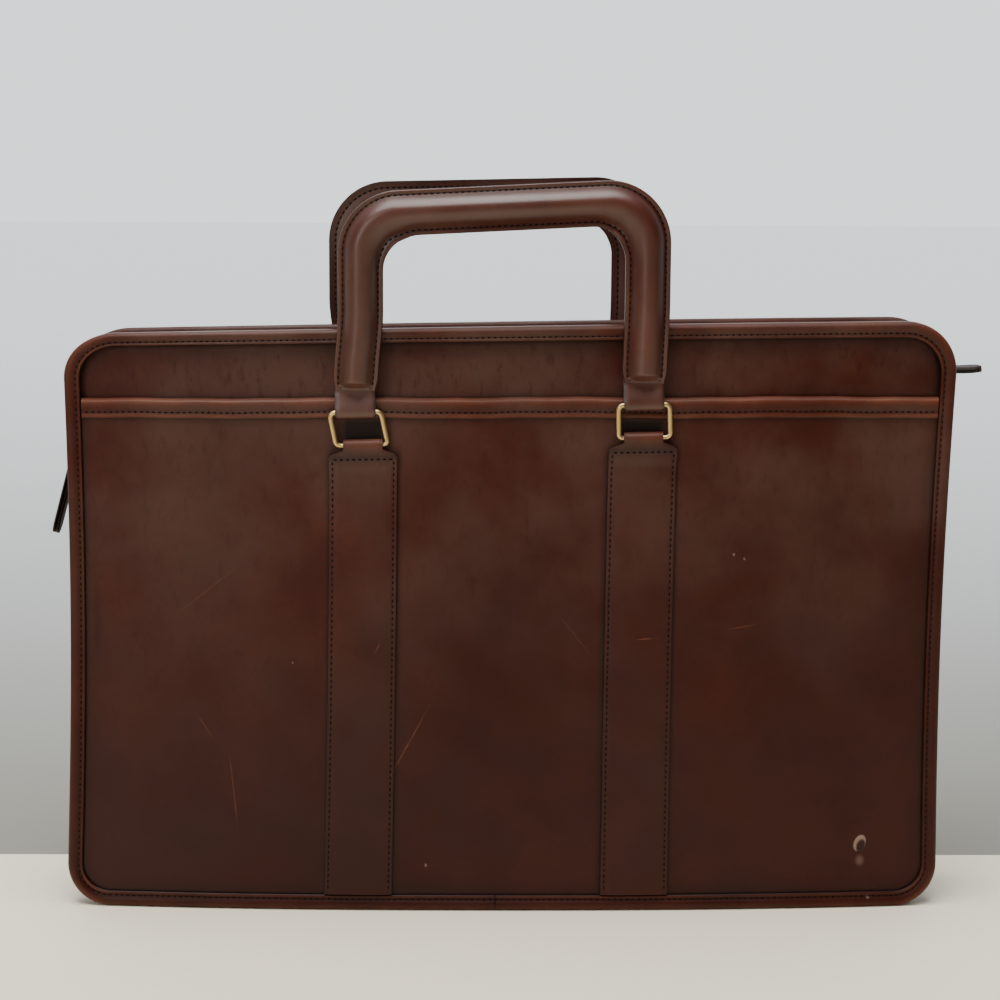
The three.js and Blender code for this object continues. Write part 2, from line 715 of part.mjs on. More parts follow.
// A strap: sewn flat to its face from the base up, then rising over the ring's lower bar and
// down again behind its own neck. bar gives the place of the ring's bar on the upright case.
function strap(face, bar, line) {
  const flat = STRAP_GAP + STRAP_LEATHER / 2;
  const loopRadius = LOOP_INNER + STRAP_LEATHER / 2;
  const frontOut = LOW_BAR_OUT + loopRadius;
  const neckHalf = (0.5 * STRAP_NECK_WIDTH) / STRAP_WIDTH;
  const base = BINDING_WIDTH + SEAM_GAP;
  const rise = bar.height - STRAP_RISE;
  const path = [];
  for (let i = 0; i <= STRAP_STEPS; i += 1) {
    path.push({ z: lerp(base, rise, i / STRAP_STEPS), out: flat, half: 0.5, flat: 0 });
  }
  for (const { along, neck } of STRAP_RISE_ROWS) {
    const ease = THREE.MathUtils.smoothstep(along, 0, 1);
    path.push({
      z: lerp(rise, bar.height, along),
      out: lerp(flat, frontOut, ease),
      half: lerp(0.5, neckHalf, neck),
      flat: ease,
    });
  }
  for (let i = 1; i <= LOOP_STEPS; i += 1) {
    const angle = (i / LOOP_STEPS) * Math.PI;
    path.push({
      z: bar.height + loopRadius * Math.sin(angle),
      out: LOW_BAR_OUT + loopRadius * Math.cos(angle),
      half: neckHalf,
      flat: 1,
    });
  }
  path.push({ z: bar.height - STRAP_TAIL, out: flat, half: neckHalf, flat: 0 });
  const seatX = settled(bar.x, 0, bar.height).x;
  const loops = path.map((p, i) => {
    const before = path[Math.max(i - 1, 0)];
    const after = path[Math.min(i + 1, path.length - 1)];
    const length = Math.hypot(after.z - before.z, after.out - before.out);
    const normal = { z: (before.out - after.out) / length, out: (after.z - before.z) / length };
    const corner = (side, t) => {
      const half = (t * STRAP_LEATHER) / 2;
      const aside = side * p.half * STRAP_WIDTH;
      const z = p.z + normal.z * half;
      const out = p.out + normal.out * half;
      const x = seatX + aside;
      const onBar = new THREE.Vector3(
        x,
        line.low.y + face.sign * (out - LOW_BAR_OUT),
        line.low.z + (x - line.low.x) * Math.tan(line.tilt) + z - bar.height,
      );
      return facePoint(face, bar.x + aside, z, -out).lerp(onBar, p.flat);
    };
    return [corner(-1, 1), corner(1, 1), corner(1, -1), corner(-1, -1)];
  });
  return loft(loops);
}

// A brass ring: a rectangle of wire with rounded corners, round the middle of its lower bar at the
// origin, upright in the XZ plane. skew shifts the upper bar sideways.
function ring(skew) {
  const halfWide = (RING_WIDTH - RING_WIRE) / 2;
  const path = new THREE.CurvePath();
  const point = (x, z) => new THREE.Vector3(x + (skew * z) / RING_BAR_SPAN, 0, z);
  const corners = [
    [halfWide, 0],
    [halfWide, RING_BAR_SPAN],
    [-halfWide, RING_BAR_SPAN],
    [-halfWide, 0],
  ];
  const inwards = ([ax, az], [bx, bz]) => {
    const length = Math.hypot(bx - ax, bz - az);
    return [ax + ((bx - ax) * RING_CORNER) / length, az + ((bz - az) * RING_CORNER) / length];
  };
  corners.forEach((corner, i) => {
    const next = corners[(i + 1) % 4];
    const last = corners[(i + 3) % 4];
    const start = point(...inwards(corner, last));
    const end = point(...inwards(corner, next));
    path.add(new THREE.QuadraticBezierCurve3(start, point(...corner), end));
    path.add(new THREE.LineCurve3(end, point(...inwards(next, corner))));
  });
  const stops = [];
  path.curves.forEach((curve, i) => {
    const steps = i % 2 === 0 ? RING_BEND_STEPS : 1;
    for (let j = 0; j < steps; j += 1) {
      stops.push({ at: curve.getPoint(j / steps), along: curve.getTangent(j / steps) });
    }
  });
  const loops = stops.map(({ at, along }) => {
    const out = new THREE.Vector3(along.z, 0, -along.x).normalize();
    return Array.from({ length: WIRE_SIDES }, (_, i) => {
      const angle = ((i + 0.5) / WIRE_SIDES) * 2 * Math.PI;
      return at
        .clone()
        .addScaledVector(out, RING_BAR * Math.cos(angle))
        .add(new THREE.Vector3(0, RING_BAR * Math.sin(angle), 0));
    });
  });
  return loft(loops, true);
}

// The middle line of a handle in its own plane: up the left leg, over the top and down the right.
// x is from the middle between the feet, z from the middle of the rings' upper bars, whose line
// has a slope.
function handlePath(handle, tilt) {
  const foot = STRAP_SPACING / 2;
  const shoulder = HANDLE_RISE + handle.lift - HANDLE_CORNER;
  const left = -foot + handle.left;
  const right = foot + handle.right;
  const slope = handle.slope / (right - left);
  const path = [];
  const leg = (side, share) => {
    const end = side < 0 ? left : right;
    const start = side * foot + (side < 0 ? handle.tab : 0);
    const high = shoulder + (side > 0 ? handle.slope : 0);
    const bend = THREE.MathUtils.smoothstep(share, 0.02, 0.6);
    const low = TAB_LENGTH + side * foot * Math.tan(tilt);
    return { x: lerp(start, end, bend), z: lerp(low, high, share) };
  };
  LEG_SHARES.forEach((share) => path.push({ ...leg(-1, share), share }));
  const arc = (cx, cz, from, to) => {
    for (let i = 0; i <= ARC_STEPS; i += 1) {
      const angle = lerp(from, to, i / ARC_STEPS);
      path.push({
        x: cx + HANDLE_CORNER * Math.cos(angle),
        z: cz + HANDLE_CORNER * Math.sin(angle),
        share: 1,
      });
    }
  };
  arc(left + HANDLE_CORNER, shoulder, Math.PI, Math.PI / 2 + slope);
  const lean = { x: HANDLE_CORNER * Math.sin(slope), z: HANDLE_CORNER * Math.cos(slope) };
  for (const share of [1 / 3, 2 / 3]) {
    path.push({
      x: lerp(left + HANDLE_CORNER - lean.x, right - HANDLE_CORNER - lean.x, share),
      z: shoulder + lean.z + handle.slope * share,
      share: 1,
    });
  }
  arc(right - HANDLE_CORNER, shoulder + handle.slope, Math.PI / 2 + slope, 0);
  [...LEG_SHARES].reverse().forEach((share) => path.push({ ...leg(1, share), share }));
  return path;
}

// Sweeps a section along a handle's middle line. section gives points across the handle and out of
// its plane, and may change with the place on the leg.
function handleSweep(handle, tilt, section) {
  const path = handlePath(handle, tilt);
  const loops = path.map((p, i) => {
    const before = path[Math.max(i - 1, 0)];
    const after = path[Math.min(i + 1, path.length - 1)];
    const atFoot = i === 0 || i === path.length - 1;
    const dx = atFoot ? 0 : after.x - before.x;
    const dz = atFoot ? (i === 0 ? 1 : -1) : after.z - before.z;
    const length = Math.hypot(dx, dz);
    return section(p.share).map(({ across, out }) => {
      const x = p.x + (across * dz) / length;
      const z = p.z - (across * dx) / length;
      return new THREE.Vector3(x, handle.sign * out, z);
    });
  });
  return loft(loops);
}

// The domed front leather of a handle's section, over its backing.
function handleSection(share) {
  const half = HANDLE_WIDTH / 2;
  const floor = HANDLE_BACKING + SEAM_GAP;
  const swell = THREE.MathUtils.smoothstep(share, 0.01, 0.1);
  const ridge = (HANDLE_THICKNESS - HANDLE_EDGE) * swell;
  const width = lerp(TAB_WIDTH, HANDLE_WIDTH, swell) / HANDLE_WIDTH;
  const side = RIDGE_ROWS.map(({ across, rise }) => ({
    across: (across * HANDLE_RIDGE_WIDTH) / 2,
    out: HANDLE_EDGE + ridge * rise,
  }));
  const rim = [
    { across: half * width, out: floor },
    { across: half * width, out: HANDLE_EDGE },
  ];
  const mirror = ({ across, out }) => ({ across: -across, out });
  const rightHalf = [...rim, ...side.slice(0, -1)];
  const crown = side[side.length - 1];
  return [
    ...rightHalf,
    crown,
    ...rightHalf.slice().reverse().map(mirror),
    { across: 0, out: floor },
  ];
}

// The end of the handle's front leather, wrapped round a ring's upper bar from the front. The bar
// is at the origin and the handle's plane lies behind it.
function handleTab(sign) {
  const centre = LOOP_OUTER;
  const radius = LOOP_INNER + STRAP_LEATHER / 2;
  const behind = HANDLE_BACKING + SEAM_GAP + STRAP_LEATHER / 2;
  const path = TAB_ROWS.map(({ height, out }) => ({
    z: height * TAB_LENGTH,
    out: lerp(behind, centre + radius, out),
  }));
  for (let i = 0; i <= LOOP_STEPS; i += 1) {
    const angle = (-i / LOOP_STEPS) * Math.PI;
    path.push({ z: radius * Math.sin(angle), out: centre + radius * Math.cos(angle) });
  }
  path.push({ z: TAB_REAR_LENGTH, out: STRAP_LEATHER / 2 });
  const rows = path.map((p, i) => {
    const before = path[Math.max(i - 1, 0)];
    const after = path[Math.min(i + 1, path.length - 1)];
    const length = Math.hypot(after.z - before.z, after.out - before.out);
    return {
      at: new THREE.Vector3(0, sign * p.out, p.z),
      across: new THREE.Vector3(1, 0, 0),
      out: new THREE.Vector3(0, (-sign * (after.z - before.z)) / length, (after.out - before.out) / length),
      half: TAB_WIDTH / 2,
      thick: STRAP_LEATHER / 2,
    };
  });
  return ribbon(rows);
}

// A whole handle: the domed front with its two tabs, and the flat backing behind it.
function handlePieces(handle, tilt) {
  const foot = STRAP_SPACING / 2;
  const tab = (side, shift) => {
    const x = side * foot + shift;
    return handleTab(handle.sign).rotateY(-tilt).translate(x, 0, x * Math.tan(tilt));
  };
  const face = joined([
    handleSweep(handle, tilt, handleSection),
    tab(-1, handle.tab),
    tab(1, 0),
  ]);
  const half = HANDLE_WIDTH / 2;
  const backing = handleSweep(handle, tilt, () => [
    { across: half, out: 0 },
    { across: half, out: HANDLE_BACKING },
    { across: -half, out: HANDLE_BACKING },
    { across: -half, out: 0 },
  ]);
  return [
    piece(`${handle.name}_handle_face`, face, leather),
    piece(`${handle.name}_handle_backing`, backing, leather),
  ];
}

// One side's straps, rings and handle.
function carrying(handle) {
  const face = handle.sign < 0 ? FRONT : BACK;
  const line = ringLines(face, handle);
  const group = new THREE.Group();
  const rings = new THREE.Group();
  rings.position.copy(line.low);
  rings.rotation.set(-line.lean, -line.tilt, 0, "YXZ");
  ["left", "right"].forEach((name, i) => {
    const side = i === 0 ? -1 : 1;
    group.add(piece(`${handle.name}_strap_${name}`, strap(face, line.bars[i], line), leather));
    const loop = piece(`${handle.name}_ring_${name}`, ring(side < 0 ? handle.skew : 0), brass);
    loop.position.x = (side * STRAP_SPACING) / 2 / Math.cos(line.tilt);
    rings.add(loop);
  });
  const hung = new THREE.Group();
  hung.position
    .copy(line.low)
    .add(new THREE.Vector3(0, 0, RING_BAR_SPAN).applyEuler(rings.rotation))
    .add(new THREE.Vector3(0, -handle.sign * LOOP_OUTER, 0));
  hung.add(...handlePieces(handle, line.tilt));
  group.add(rings, hung);
  return group;
}

// The zip with its strips, tape, teeth, slider, pull and end tab.
function zip() {
  const group = new THREE.Group();
  group.add(
    piece("zip_strip_front", zipStrip(FRONT), leather),
    piece("zip_strip_back", zipStrip(BACK), leather),
  );
  const tapeDepth = WEB_INNER + SEAM_GAP;
  group.add(piece("zip_tape", zipRibbon(ZIP_TAPE_WIDTH, tapeDepth, ZIP_TAPE_CLOTH), zipCloth));
  const teethDepth = tapeDepth - SEAM_GAP - ZIP_TEETH_HEIGHT;
  group.add(piece("zip_teeth", zipRibbon(ZIP_TEETH_WIDTH, teethDepth, ZIP_TEETH_HEIGHT), brass));
  const parked = sideStation(-1, SLIDER_HEIGHT);
  const over = webPoint(parked, teethDepth - SEAM_GAP, 0, -TOP_SINK);
  const slider = piece("zip_slider", zipSlider(), brass);
  slider.position.copy(over);
  const pull = piece("zip_pull", zipPull(), darkLeather);
  pull.position.set(over.x - SLIDER_PLATE - SLIDER_BAR_RISE, over.y, over.z);
  pull.rotation.y = THREE.MathUtils.degToRad(PULL_LEAN_DEG);
  group.add(slider, pull, piece("zip_end_tab", zipEndTab(), darkLeather));
  return group;
}

// The two faces, their bindings, the pocket and the gusset.
function body() {
  const group = new THREE.Group();
  const top = BODY_HEIGHT - SHEET_INSET;
  group.add(
    piece("front_panel", faceSheet(FRONT, FRONT.panel, PANEL_LEATHER, top), leather),
    piece("back_panel", faceSheet(BACK, BACK.panel, PANEL_LEATHER, top), leather),
    piece("front_pocket", faceSheet(FRONT, 0, POCKET_LEATHER, POCKET_TOP), leather),
    piece("pocket_edge", pocketEdge(), leather),
    piece("front_binding", binding(FRONT), leather),
    piece("back_binding", binding(BACK), leather),
    piece("gusset", gusset(), leather),
  );
  return group;
}

// The whole case, moved so that the middle of its box is over the origin.
const standing = new THREE.Group();
standing.add(body(), zip(), ...HANDLES.map(inMillimetres).map(carrying));
const middle = new THREE.Box3().setFromObject(standing, true).getCenter(new THREE.Vector3());
standing.position.set(-middle.x, -middle.y, 0);

const documentCase = new THREE.Group();
documentCase.add(standing);

export default documentCase;
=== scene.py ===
"""A worn leather document case: bound faces, a front pocket, sewn straps and stiff handles on rings."""

import math
from types import SimpleNamespace

import bpy
import numpy as np
from mathutils import Matrix, Vector


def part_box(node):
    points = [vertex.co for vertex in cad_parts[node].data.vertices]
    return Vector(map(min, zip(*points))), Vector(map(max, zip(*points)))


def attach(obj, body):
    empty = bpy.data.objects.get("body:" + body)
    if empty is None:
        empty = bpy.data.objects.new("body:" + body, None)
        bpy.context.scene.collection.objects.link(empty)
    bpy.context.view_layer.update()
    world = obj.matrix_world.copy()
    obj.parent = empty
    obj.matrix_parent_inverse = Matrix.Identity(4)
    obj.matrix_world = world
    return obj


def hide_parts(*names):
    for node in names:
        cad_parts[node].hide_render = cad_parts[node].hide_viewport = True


bl_info = {
    "name": "Leather document case",
    "version": (1, 0, 0),
    "blender": (4, 5, 0),
    "location": "View3D > Sidebar > Document case",
    "description": "Builds a bound leather document case with straps, rings and handles",
    "category": "Add Mesh",
}

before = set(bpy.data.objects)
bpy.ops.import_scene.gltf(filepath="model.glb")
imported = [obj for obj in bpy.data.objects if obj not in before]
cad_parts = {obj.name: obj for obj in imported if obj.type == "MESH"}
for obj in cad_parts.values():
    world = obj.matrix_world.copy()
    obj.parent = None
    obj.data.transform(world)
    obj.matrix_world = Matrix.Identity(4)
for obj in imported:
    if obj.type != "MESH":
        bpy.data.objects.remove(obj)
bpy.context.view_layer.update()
MM = 0.001

# The shift that centres the case, and the gaps and thicknesses of its layers
ORIGIN_X, ORIGIN_Y = -5.416 * MM, 0.122 * MM
SEAM_GAP = 0.3 * MM
STRAP_GAP = 0.4 * MM
PANEL_LEATHER = 1.6 * MM
POCKET_LEATHER = 1.5 * MM
EDGE_LEATHER = 1.0 * MM
GUSSET_LEATHER = 1.3 * MM
BINDING_LEATHER = 1.1 * MM
STRAP_LEATHER = 1.4 * MM
TAPE_CLOTH = 0.8 * MM
SHEET_INSET = BINDING_LEATHER + SEAM_GAP

# The share of a quarter turn that a sheet's columns are spread over, closer together at its sides
SHEET_SPREAD = 0.8
# Distance of a strap's stitches from its edge, and the stations of its flat, rising and looped parts
STRAP_MARGIN = 1.8 * MM
STRAP_FLAT, STRAP_RISE, STRAP_LOOP = 90, 26, 18
# The station of a strap's cross seam under its ring
STRAP_SEAM = 104
# The zip's teeth: from one to the next, and half a tooth's width and length
TOOTH_PITCH = 1.45 * MM
TOOTH_WIDE, TOOTH_LONG = 1.75 * MM, 0.62 * MM
# The pull: its leather, the slider's bar in it, the bar's place in the slider and half its neck
PULL_LEATHER = 0.7 * MM
PULL_BAR, PULL_BAR_IN, PULL_NECK = 0.9 * MM, 5.0 * MM, 2.4 * MM
# The end tab: half its leather, and its middle line over the zip's leather
END_LEATHER = 1.45 * MM
END_LIE = 1.7 * MM + 0.45 * MM
# The share of a handle's leg over which its foot narrows
FOOT_SHARE = 0.1
# From the binding's inner edge to the leather that joins the faces
WEB_GAP = 0.5 * MM
# Where stitches lie: under the pocket's crest, in from the binding's outer edge before and behind,
# in from the zip's opening, out from a handle's ridge, and in from the edge of its backing
POCKET_GROOVE = 6.2 * MM
BINDING_GROOVE, REAR_GROOVE = 5.45 * MM, 6.0 * MM
ZIP_GROOVES = (1.6 * MM, 9.0 * MM)
HANDLE_GROOVE, BACKING_GROOVE = 0.35 * MM, 3.2 * MM

# Tones: a painted sheen for the upper parts, raw leather in a scuff, a scuff's hollow, and the far floor
PAINTED_SHEEN = (0.1, 0.06, 0.047)
RAW_LEATHER = (0.42, 0.3, 0.24)
HOLLOW = (0.02, 0.01, 0.008)
FAR_FLOOR = (0.1, 0.1, 0.1)

# How far each face swells past the side seams: height share, share of the swell
SWELL_ROWS = np.array([(0, 0.9), (0.2, 1), (0.5, 0.85), (0.8, 0.4), (1, 0.15)])


def length(name, description, millimetres):
    """A length property whose default is given in millimetres."""
    return bpy.props.FloatProperty(
        name=name, description=description, default=millimetres * MM, unit="LENGTH", precision=5
    )


def share(name, description, default):
    """A plain number property."""
    return bpy.props.FloatProperty(name=name, description=description, default=default)


def colour(name, description, red, green, blue):
    """A colour property whose default is given as screen values from 0 to 255."""
    linear = tuple((c / 255) ** 2.2 for c in (red, green, blue))
    return bpy.props.FloatVectorProperty(
        name=name, description=description, default=linear, size=3, subtype="COLOR", min=0, max=1
    )


class CaseBody(bpy.types.PropertyGroup):
    """Sizes of the case's body."""

    width: length("Width", "Width over the faces", 420)
    height: length("Height", "Height of the faces", 282)
    depth_low: length("Depth at base", "Depth at the side seams, at the base", 52)
    depth_top: length("Depth at top", "Depth at the side seams, at the top", 46)
    front_swell: length("Front swell", "How far the front stands past its seams", 10)
    back_swell: length("Back swell", "How far the back stands past its seams", 9)
    swell_power: share("Swell power", "How flat the faces are across", 2.4)
    corner_low: length("Lower corners", "Radius of the lower corners", 21)
    corner_top: length("Upper corners", "Radius of the upper corners", 25)
    waist: length("Waist", "How far the sides have drawn in", 2.9)
    sag: length("Sag", "How far the upper left end has sunk", 8)
    sag_power: share("Sag power", "How near the top the sag starts", 8)
    sag_fade: share("Sag fade", "How fast the sag fades to the right", 1.2)
    top_shift: length("Top shift", "How far the top leans to the right", 3)
    relief: length("Relief", "Depth of the slow hollows of worn leather", 0.35)
    binding: length("Binding", "Width of the binding", 7.6)
    pocket_drop: length("Pocket drop", "The pocket's top edge under the top", 36.4)
    pocket_edge: length("Pocket edge", "Height of the strip over the pocket's edge", 9.5)
    gusset_drop: length("Gusset drop", "How far the base bellies out", 3)
    gusset_tuck: length("Gusset tuck", "How far the sides fold in", 3)
    top_sink: length("Top sink", "How far the zip strips sink in", 2)
    zip_right_drop: length("Zip right end", "The zip's right end under the top", 26)
    zip_left_drop: length("Zip left end", "The zip's left end under the top", 64)
    zip_opening: length("Zip opening", "Gap between the zip's leather strips", 10)
    tape_width: length("Tape width", "Width of the zip's tape", 26)


class CaseCarry(bpy.types.PropertyGroup):
    """Sizes of the straps, rings, handles, pull and tab."""

    spacing: length("Strap spacing", "Between the middles of the two straps", 132)
    centre: length("Strap centre", "Middle of the two straps", -3.5)
    strap_width: length("Strap width", "Width of a strap", 32.5)
    neck_width: length("Neck width", "Width of a strap at its ring", 18.5)
    strap_tail: length("Strap tail", "Length of the strap's end behind its neck", 8)
    strap_rise: length("Strap rise", "Height over which a strap rises to its ring", 15)
    ring_drop: length("Ring drop", "Lower bar of a ring under the pocket's edge", 21.6)
    ring_wire: length("Ring wire", "Thickness of a ring's wire", 2.4)
    ring_width: length("Ring width", "Width of a ring", 26.4)
    ring_height: length("Ring height", "Height of a ring", 18)
    ring_corner: length("Ring corner", "Length of a ring's corner bends", 2.8)
    ring_run: length("Ring clearance", "Gap between a ring and its leather loop", 0.3)
    handle_width: length("Handle width", "Width of a handle", 21)
    handle_thick: length("Handle thickness", "Thickness at the crest of its padding", 10)
    handle_edge: length("Handle edge", "Thickness at its sewn edges", 3.4)
    ridge_width: length("Ridge width", "Width of its padding", 15.6)
    handle_backing: length("Backing", "Thickness of its backing", 1.4)
    handle_rise: length("Handle rise", "Height of its middle line over the rings", 90)
    handle_corner: length("Handle corner", "Radius of its corners", 18.5)
    corner_inner: length("Inner corners", "Radius of its inner corners", 16)
    tab_width: length("Tab width", "Width of its wrapped ends", 18.8)
    tab_length: length("Tab length", "Length of its wrapped ends", 10)
    tab_rear: length("Tab rear", "Length of the tab behind the ring", 6)
    pull_length: length("Pull length", "Length of the zip's pull", 56)
    pull_width: length("Pull width", "Width of the zip's pull", 11)
    pull_lean: bpy.props.FloatProperty(
        name="Pull lean", description="How far the pull leans out", default=math.radians(15), subtype="ANGLE"
    )
    end_reach: length("End tab reach", "How far the zip's end tab stands out", 24.5)
    end_width: length("End tab width", "Width of the zip's end tab", 19)


class CaseFinish(bpy.types.PropertyGroup):
    """Stitch sizes and the colours of every finish."""

    pitch: length("Stitch pitch", "From one stitch to the next", 2.85)
    stitch: length("Stitch length", "Length of the thread that shows", 1.75)
    thread: length("Thread", "Thickness of the thread", 0.8)
    leather_light: colour("Light leather", "Rubbed and sunlit leather", 118, 68, 48)
    leather_mid: colour("Leather", "The main brown", 62, 23, 10)
    leather_dark: colour("Dark leather", "The deep brown of the low parts", 44, 13, 4)
    # Edge paint, also used for the painted shade beside seams, under the straps, inside the front rings and
    # along the gusset's fold.
    edge_paint_and_shade: colour("Edge paint", "Painted cut edges and seams", 26, 14, 11)
    thread_colour: colour("Thread colour", "Waxed thread", 22, 11, 8)
    pull_leather: colour("Pull leather", "The nearly black pull and tab", 34, 26, 22)
    brass: colour("Brass", "Rings, slider and teeth", 198, 152, 70)
    tape: colour("Tape", "The zip's cloth", 40, 27, 22)
    floor: colour("Floor", "The pale floor", 242, 233, 210)
    wall_low: colour("Backdrop near", "The floor just behind the case", 128, 126, 117)
    wall_high: colour("Backdrop far", "The far floor and the sky", 206, 211, 213)


def settings():
    """The three groups of sizes and colours."""
    scene = bpy.context.scene
    return scene.case_body, scene.case_carry, scene.case_finish


def smoothstep(at, low, high):
    """0 below low, 1 above high, and 3 t^2 - 2 t^3 between."""
    t = np.clip((at - low) / (high - low), 0, 1)
    return t * t * (3 - 2 * t)


def lerp(a, b, t):
    """The straight mix of two values."""
    return a + (b - a) * t


def unit(directions):
    """Directions brought to length one."""
    return directions / np.linalg.norm(directions, axis=-1, keepdims=True)


def facing(sign, count):
    """The direction out of a face, once for each of a number of points."""
    return np.tile([0.0, sign, 0.0], (count, 1))


def read_rows(rows, at):
    """A table's value at a place, on cubics whose slope at a row is that between its neighbours."""
    places, values = rows.T
    i = np.clip(np.searchsorted(places, at) - 1, 0, len(places) - 2)
    before, after = np.maximum(i - 1, 0), np.minimum(i + 2, len(places) - 1)
    span = places[i + 1] - places[i]
    start = (values[i + 1] - values[before]) / (places[i + 1] - places[before]) * span
    end = (values[after] - values[i]) / (places[after] - places[i]) * span
    t = np.clip((at - places[i]) / span, 0, 1)
    t2, t3 = t * t, t * t * t
    ends = values[i] * (2 * t3 - 3 * t2 + 1) + values[i + 1] * (3 * t2 - 2 * t3)
    return ends + start * (t3 - 2 * t2 + t) + end * (t3 - t2)


def face_of(name):
    """A large face: its sign on Y, its swell, and the depths of the layers under its surface."""
    body = settings()[0]
    front = name == "front"
    panel = POCKET_LEATHER + EDGE_LEATHER + 2 * SEAM_GAP if front else 0
    flange = panel + PANEL_LEATHER + SEAM_GAP
    return SimpleNamespace(
        name=name, sign=-1 if front else 1, swell=body.front_swell if front else body.back_swell,
        panel=panel, flange=flange, inside=flange + GUSSET_LEATHER,
    )


def relief(face, x, z):
    """Slow waves of worn leather: three crossing sines, fading to nothing at the outline."""
    body = settings()[0]
    fade = 1 - np.clip(np.abs(x) / (body.width / 2), 0, 1) ** 5
    fade = fade * (1 - np.clip(np.abs(2 * z / body.height - 1), 0, 1) ** 6)
    wave = np.sin(x * 41 + 17 * z + 1 + face.sign) * np.sin(z * 33 + 0.6)
    wave = wave + 0.6 * np.sin(x * 78 - z * 29 + 2) * np.sin(z * 67 + x * 12)
    return body.relief * fade * (wave + 0.35 * np.sin(x * 131 + z * 149))


def half_depth(face, x, z):
    """Half the depth: the sides taper with height, plus a belly of 1 - |x|^power, plus the relief."""
    body = settings()[0]
    height = np.clip(z / body.height, 0, 1)
    side = lerp(body.depth_low, body.depth_top, height) / 2
    belly = 1 - np.minimum(np.abs(x) / (body.width / 2), 1) ** body.swell_power
    return side + face.swell * belly * read_rows(SWELL_ROWS, height) + relief(face, x, z)


def settled(x, y, z):
    """The upright case settled by use: a sine waist, a lean to the right and a sunk upper left."""
    body = settings()[0]
    height = z / body.height
    draw = body.waist * np.sin(np.pi * np.clip(height, 0, 1))
    leftness = np.maximum(0.5 - x / body.width, 0) ** body.sag_fade
    px = x - draw * x / (body.width / 2) + body.top_shift * height + ORIGIN_X
    pz = z - body.sag * np.maximum(height, 0) ** body.sag_power * leftness
    return np.stack(np.broadcast_arrays(px, y + ORIGIN_Y, pz), -1)


def face_point(face, x, z, depth):
    """A settled point at a depth under a face's outer surface."""
    return settled(x, face.sign * (half_depth(face, x, z) - depth), z)


def stations(rows):
    """Rows of x, z and the outward direction as four columns."""
    x, z, nx, nz = rows.T[:, :, None]
    return SimpleNamespace(x=x, z=z, nx=nx, nz=nz)


def outline(spacing, turns):
    """Stations round the outline, anticlockwise from the lower right: straights and corner arcs."""
    body = settings()[0]
    half, low, top = body.width / 2, body.corner_low, body.corner_top
    high = body.height - top
    right = [(half - low, low, low), (half - top, high, top)]
    left = [(top - half, high, top), (low - half, low, low)]
    corners = right + left
    parts = []
    for number, (cx, cz, radius) in enumerate(corners):
        angle = (number - 1 + np.linspace(0, 1, turns + 1)) * np.pi / 2
        normal = np.stack([np.cos(angle), np.sin(angle)], -1)
        arc = np.hstack([np.array([cx, cz]) + radius * normal, normal])
        if parts:
            gap = arc[0, :2] - parts[-1][-1, :2]
            steps = max(2, round(np.hypot(*gap) / spacing))
            t = np.linspace(0, 1, steps + 1)[1:-1, None]
            straight = parts[-1][-1, :2] + gap * t
            parts.append(np.hstack([straight, np.repeat(arc[:1, 2:], len(t), 0)]))
        parts.append(arc)
    gap = parts[0][0, :2] - parts[-1][-1, :2]
    t = np.linspace(0, 1, round(np.hypot(*gap) / spacing) + 1)[1:-1, None]
    parts.append(np.hstack([parts[-1][-1, :2] + gap * t, np.repeat([[0.0, -1.0]], len(t), 0)]))
    return stations(np.vstack(parts))


def side_station(sign, z):
    """The station on the right or left side at a height, as four numbers."""
    body = settings()[0]
    cx, cz = body.width / 2 - body.corner_top, body.height - body.corner_top
    if z <= cz:
        return sign * body.width / 2, z, sign, 0.0
    nz = (z - cz) / body.corner_top
    nx = sign * math.sqrt(1 - nz * nz)
    return sign * cx + body.corner_top * nx, z, nx, nz


def station_angle(x, z):
    """The turn round the middle of the case, anticlockwise from the base's centre."""
    return np.mod(np.arctan2(x, settings()[0].height / 2 - z), 2 * np.pi)


def run_of(kind):
    """The stations that the zip runs past, or those of the gusset below it, in order."""
    body = settings()[0]
    right = side_station(1, body.height - body.zip_right_drop)
    left = side_station(-1, body.height - body.zip_left_drop)
    start, end = station_angle(*right[:2]), station_angle(*left[:2])
    whole = outline(5 * MM, 16)
    rows = np.hstack([whole.x, whole.z, whole.nx, whole.nz])
    angle = station_angle(rows[:, 0], rows[:, 1])
    if kind == "zip":
        keep = (angle > start + 0.01) & (angle < end - 0.01)
        rows = np.vstack([right, rows[keep][np.argsort(angle[keep])], left])
    else:
        low = (left[0], left[1] - SEAM_GAP, *left[2:])
        high = (right[0], right[1] - SEAM_GAP, *right[2:])
        turned = np.mod(angle - end, 2 * np.pi)
        keep = (turned > 0.01) & (turned < np.mod(start - end, 2 * np.pi) - 0.01)
        rows = np.vstack([low, rows[keep][np.argsort(turned[keep])], high])
    return stations(rows)


def seam_point(face, at, inset, depth):
    """A point inset from the outline at a depth under a face."""
    return face_point(face, at.x - at.nx * inset, at.z - at.nz * inset, depth)


def web_point(at, inset, across, rise):
    """A point of the strip between the seams: rise lifts its middle by 1 - across^2."""
    front, back = face_of("front"), face_of("back")
    out = inset - rise * (1 - across**2)
    x, z = at.x - at.nx * out, at.z - at.nz * out
    to_front, to_back = (half_depth(face, x, z) - face.flange for face in (front, back))
    return settled(x, across * np.where(across < 0, to_front, to_back), z)


def web_share(at, y):
    """The share across the strip of a distance from its middle."""
    face = face_of("front" if y < 0 else "back")
    return y / (half_depth(face, at.x, at.z) - face.flange)


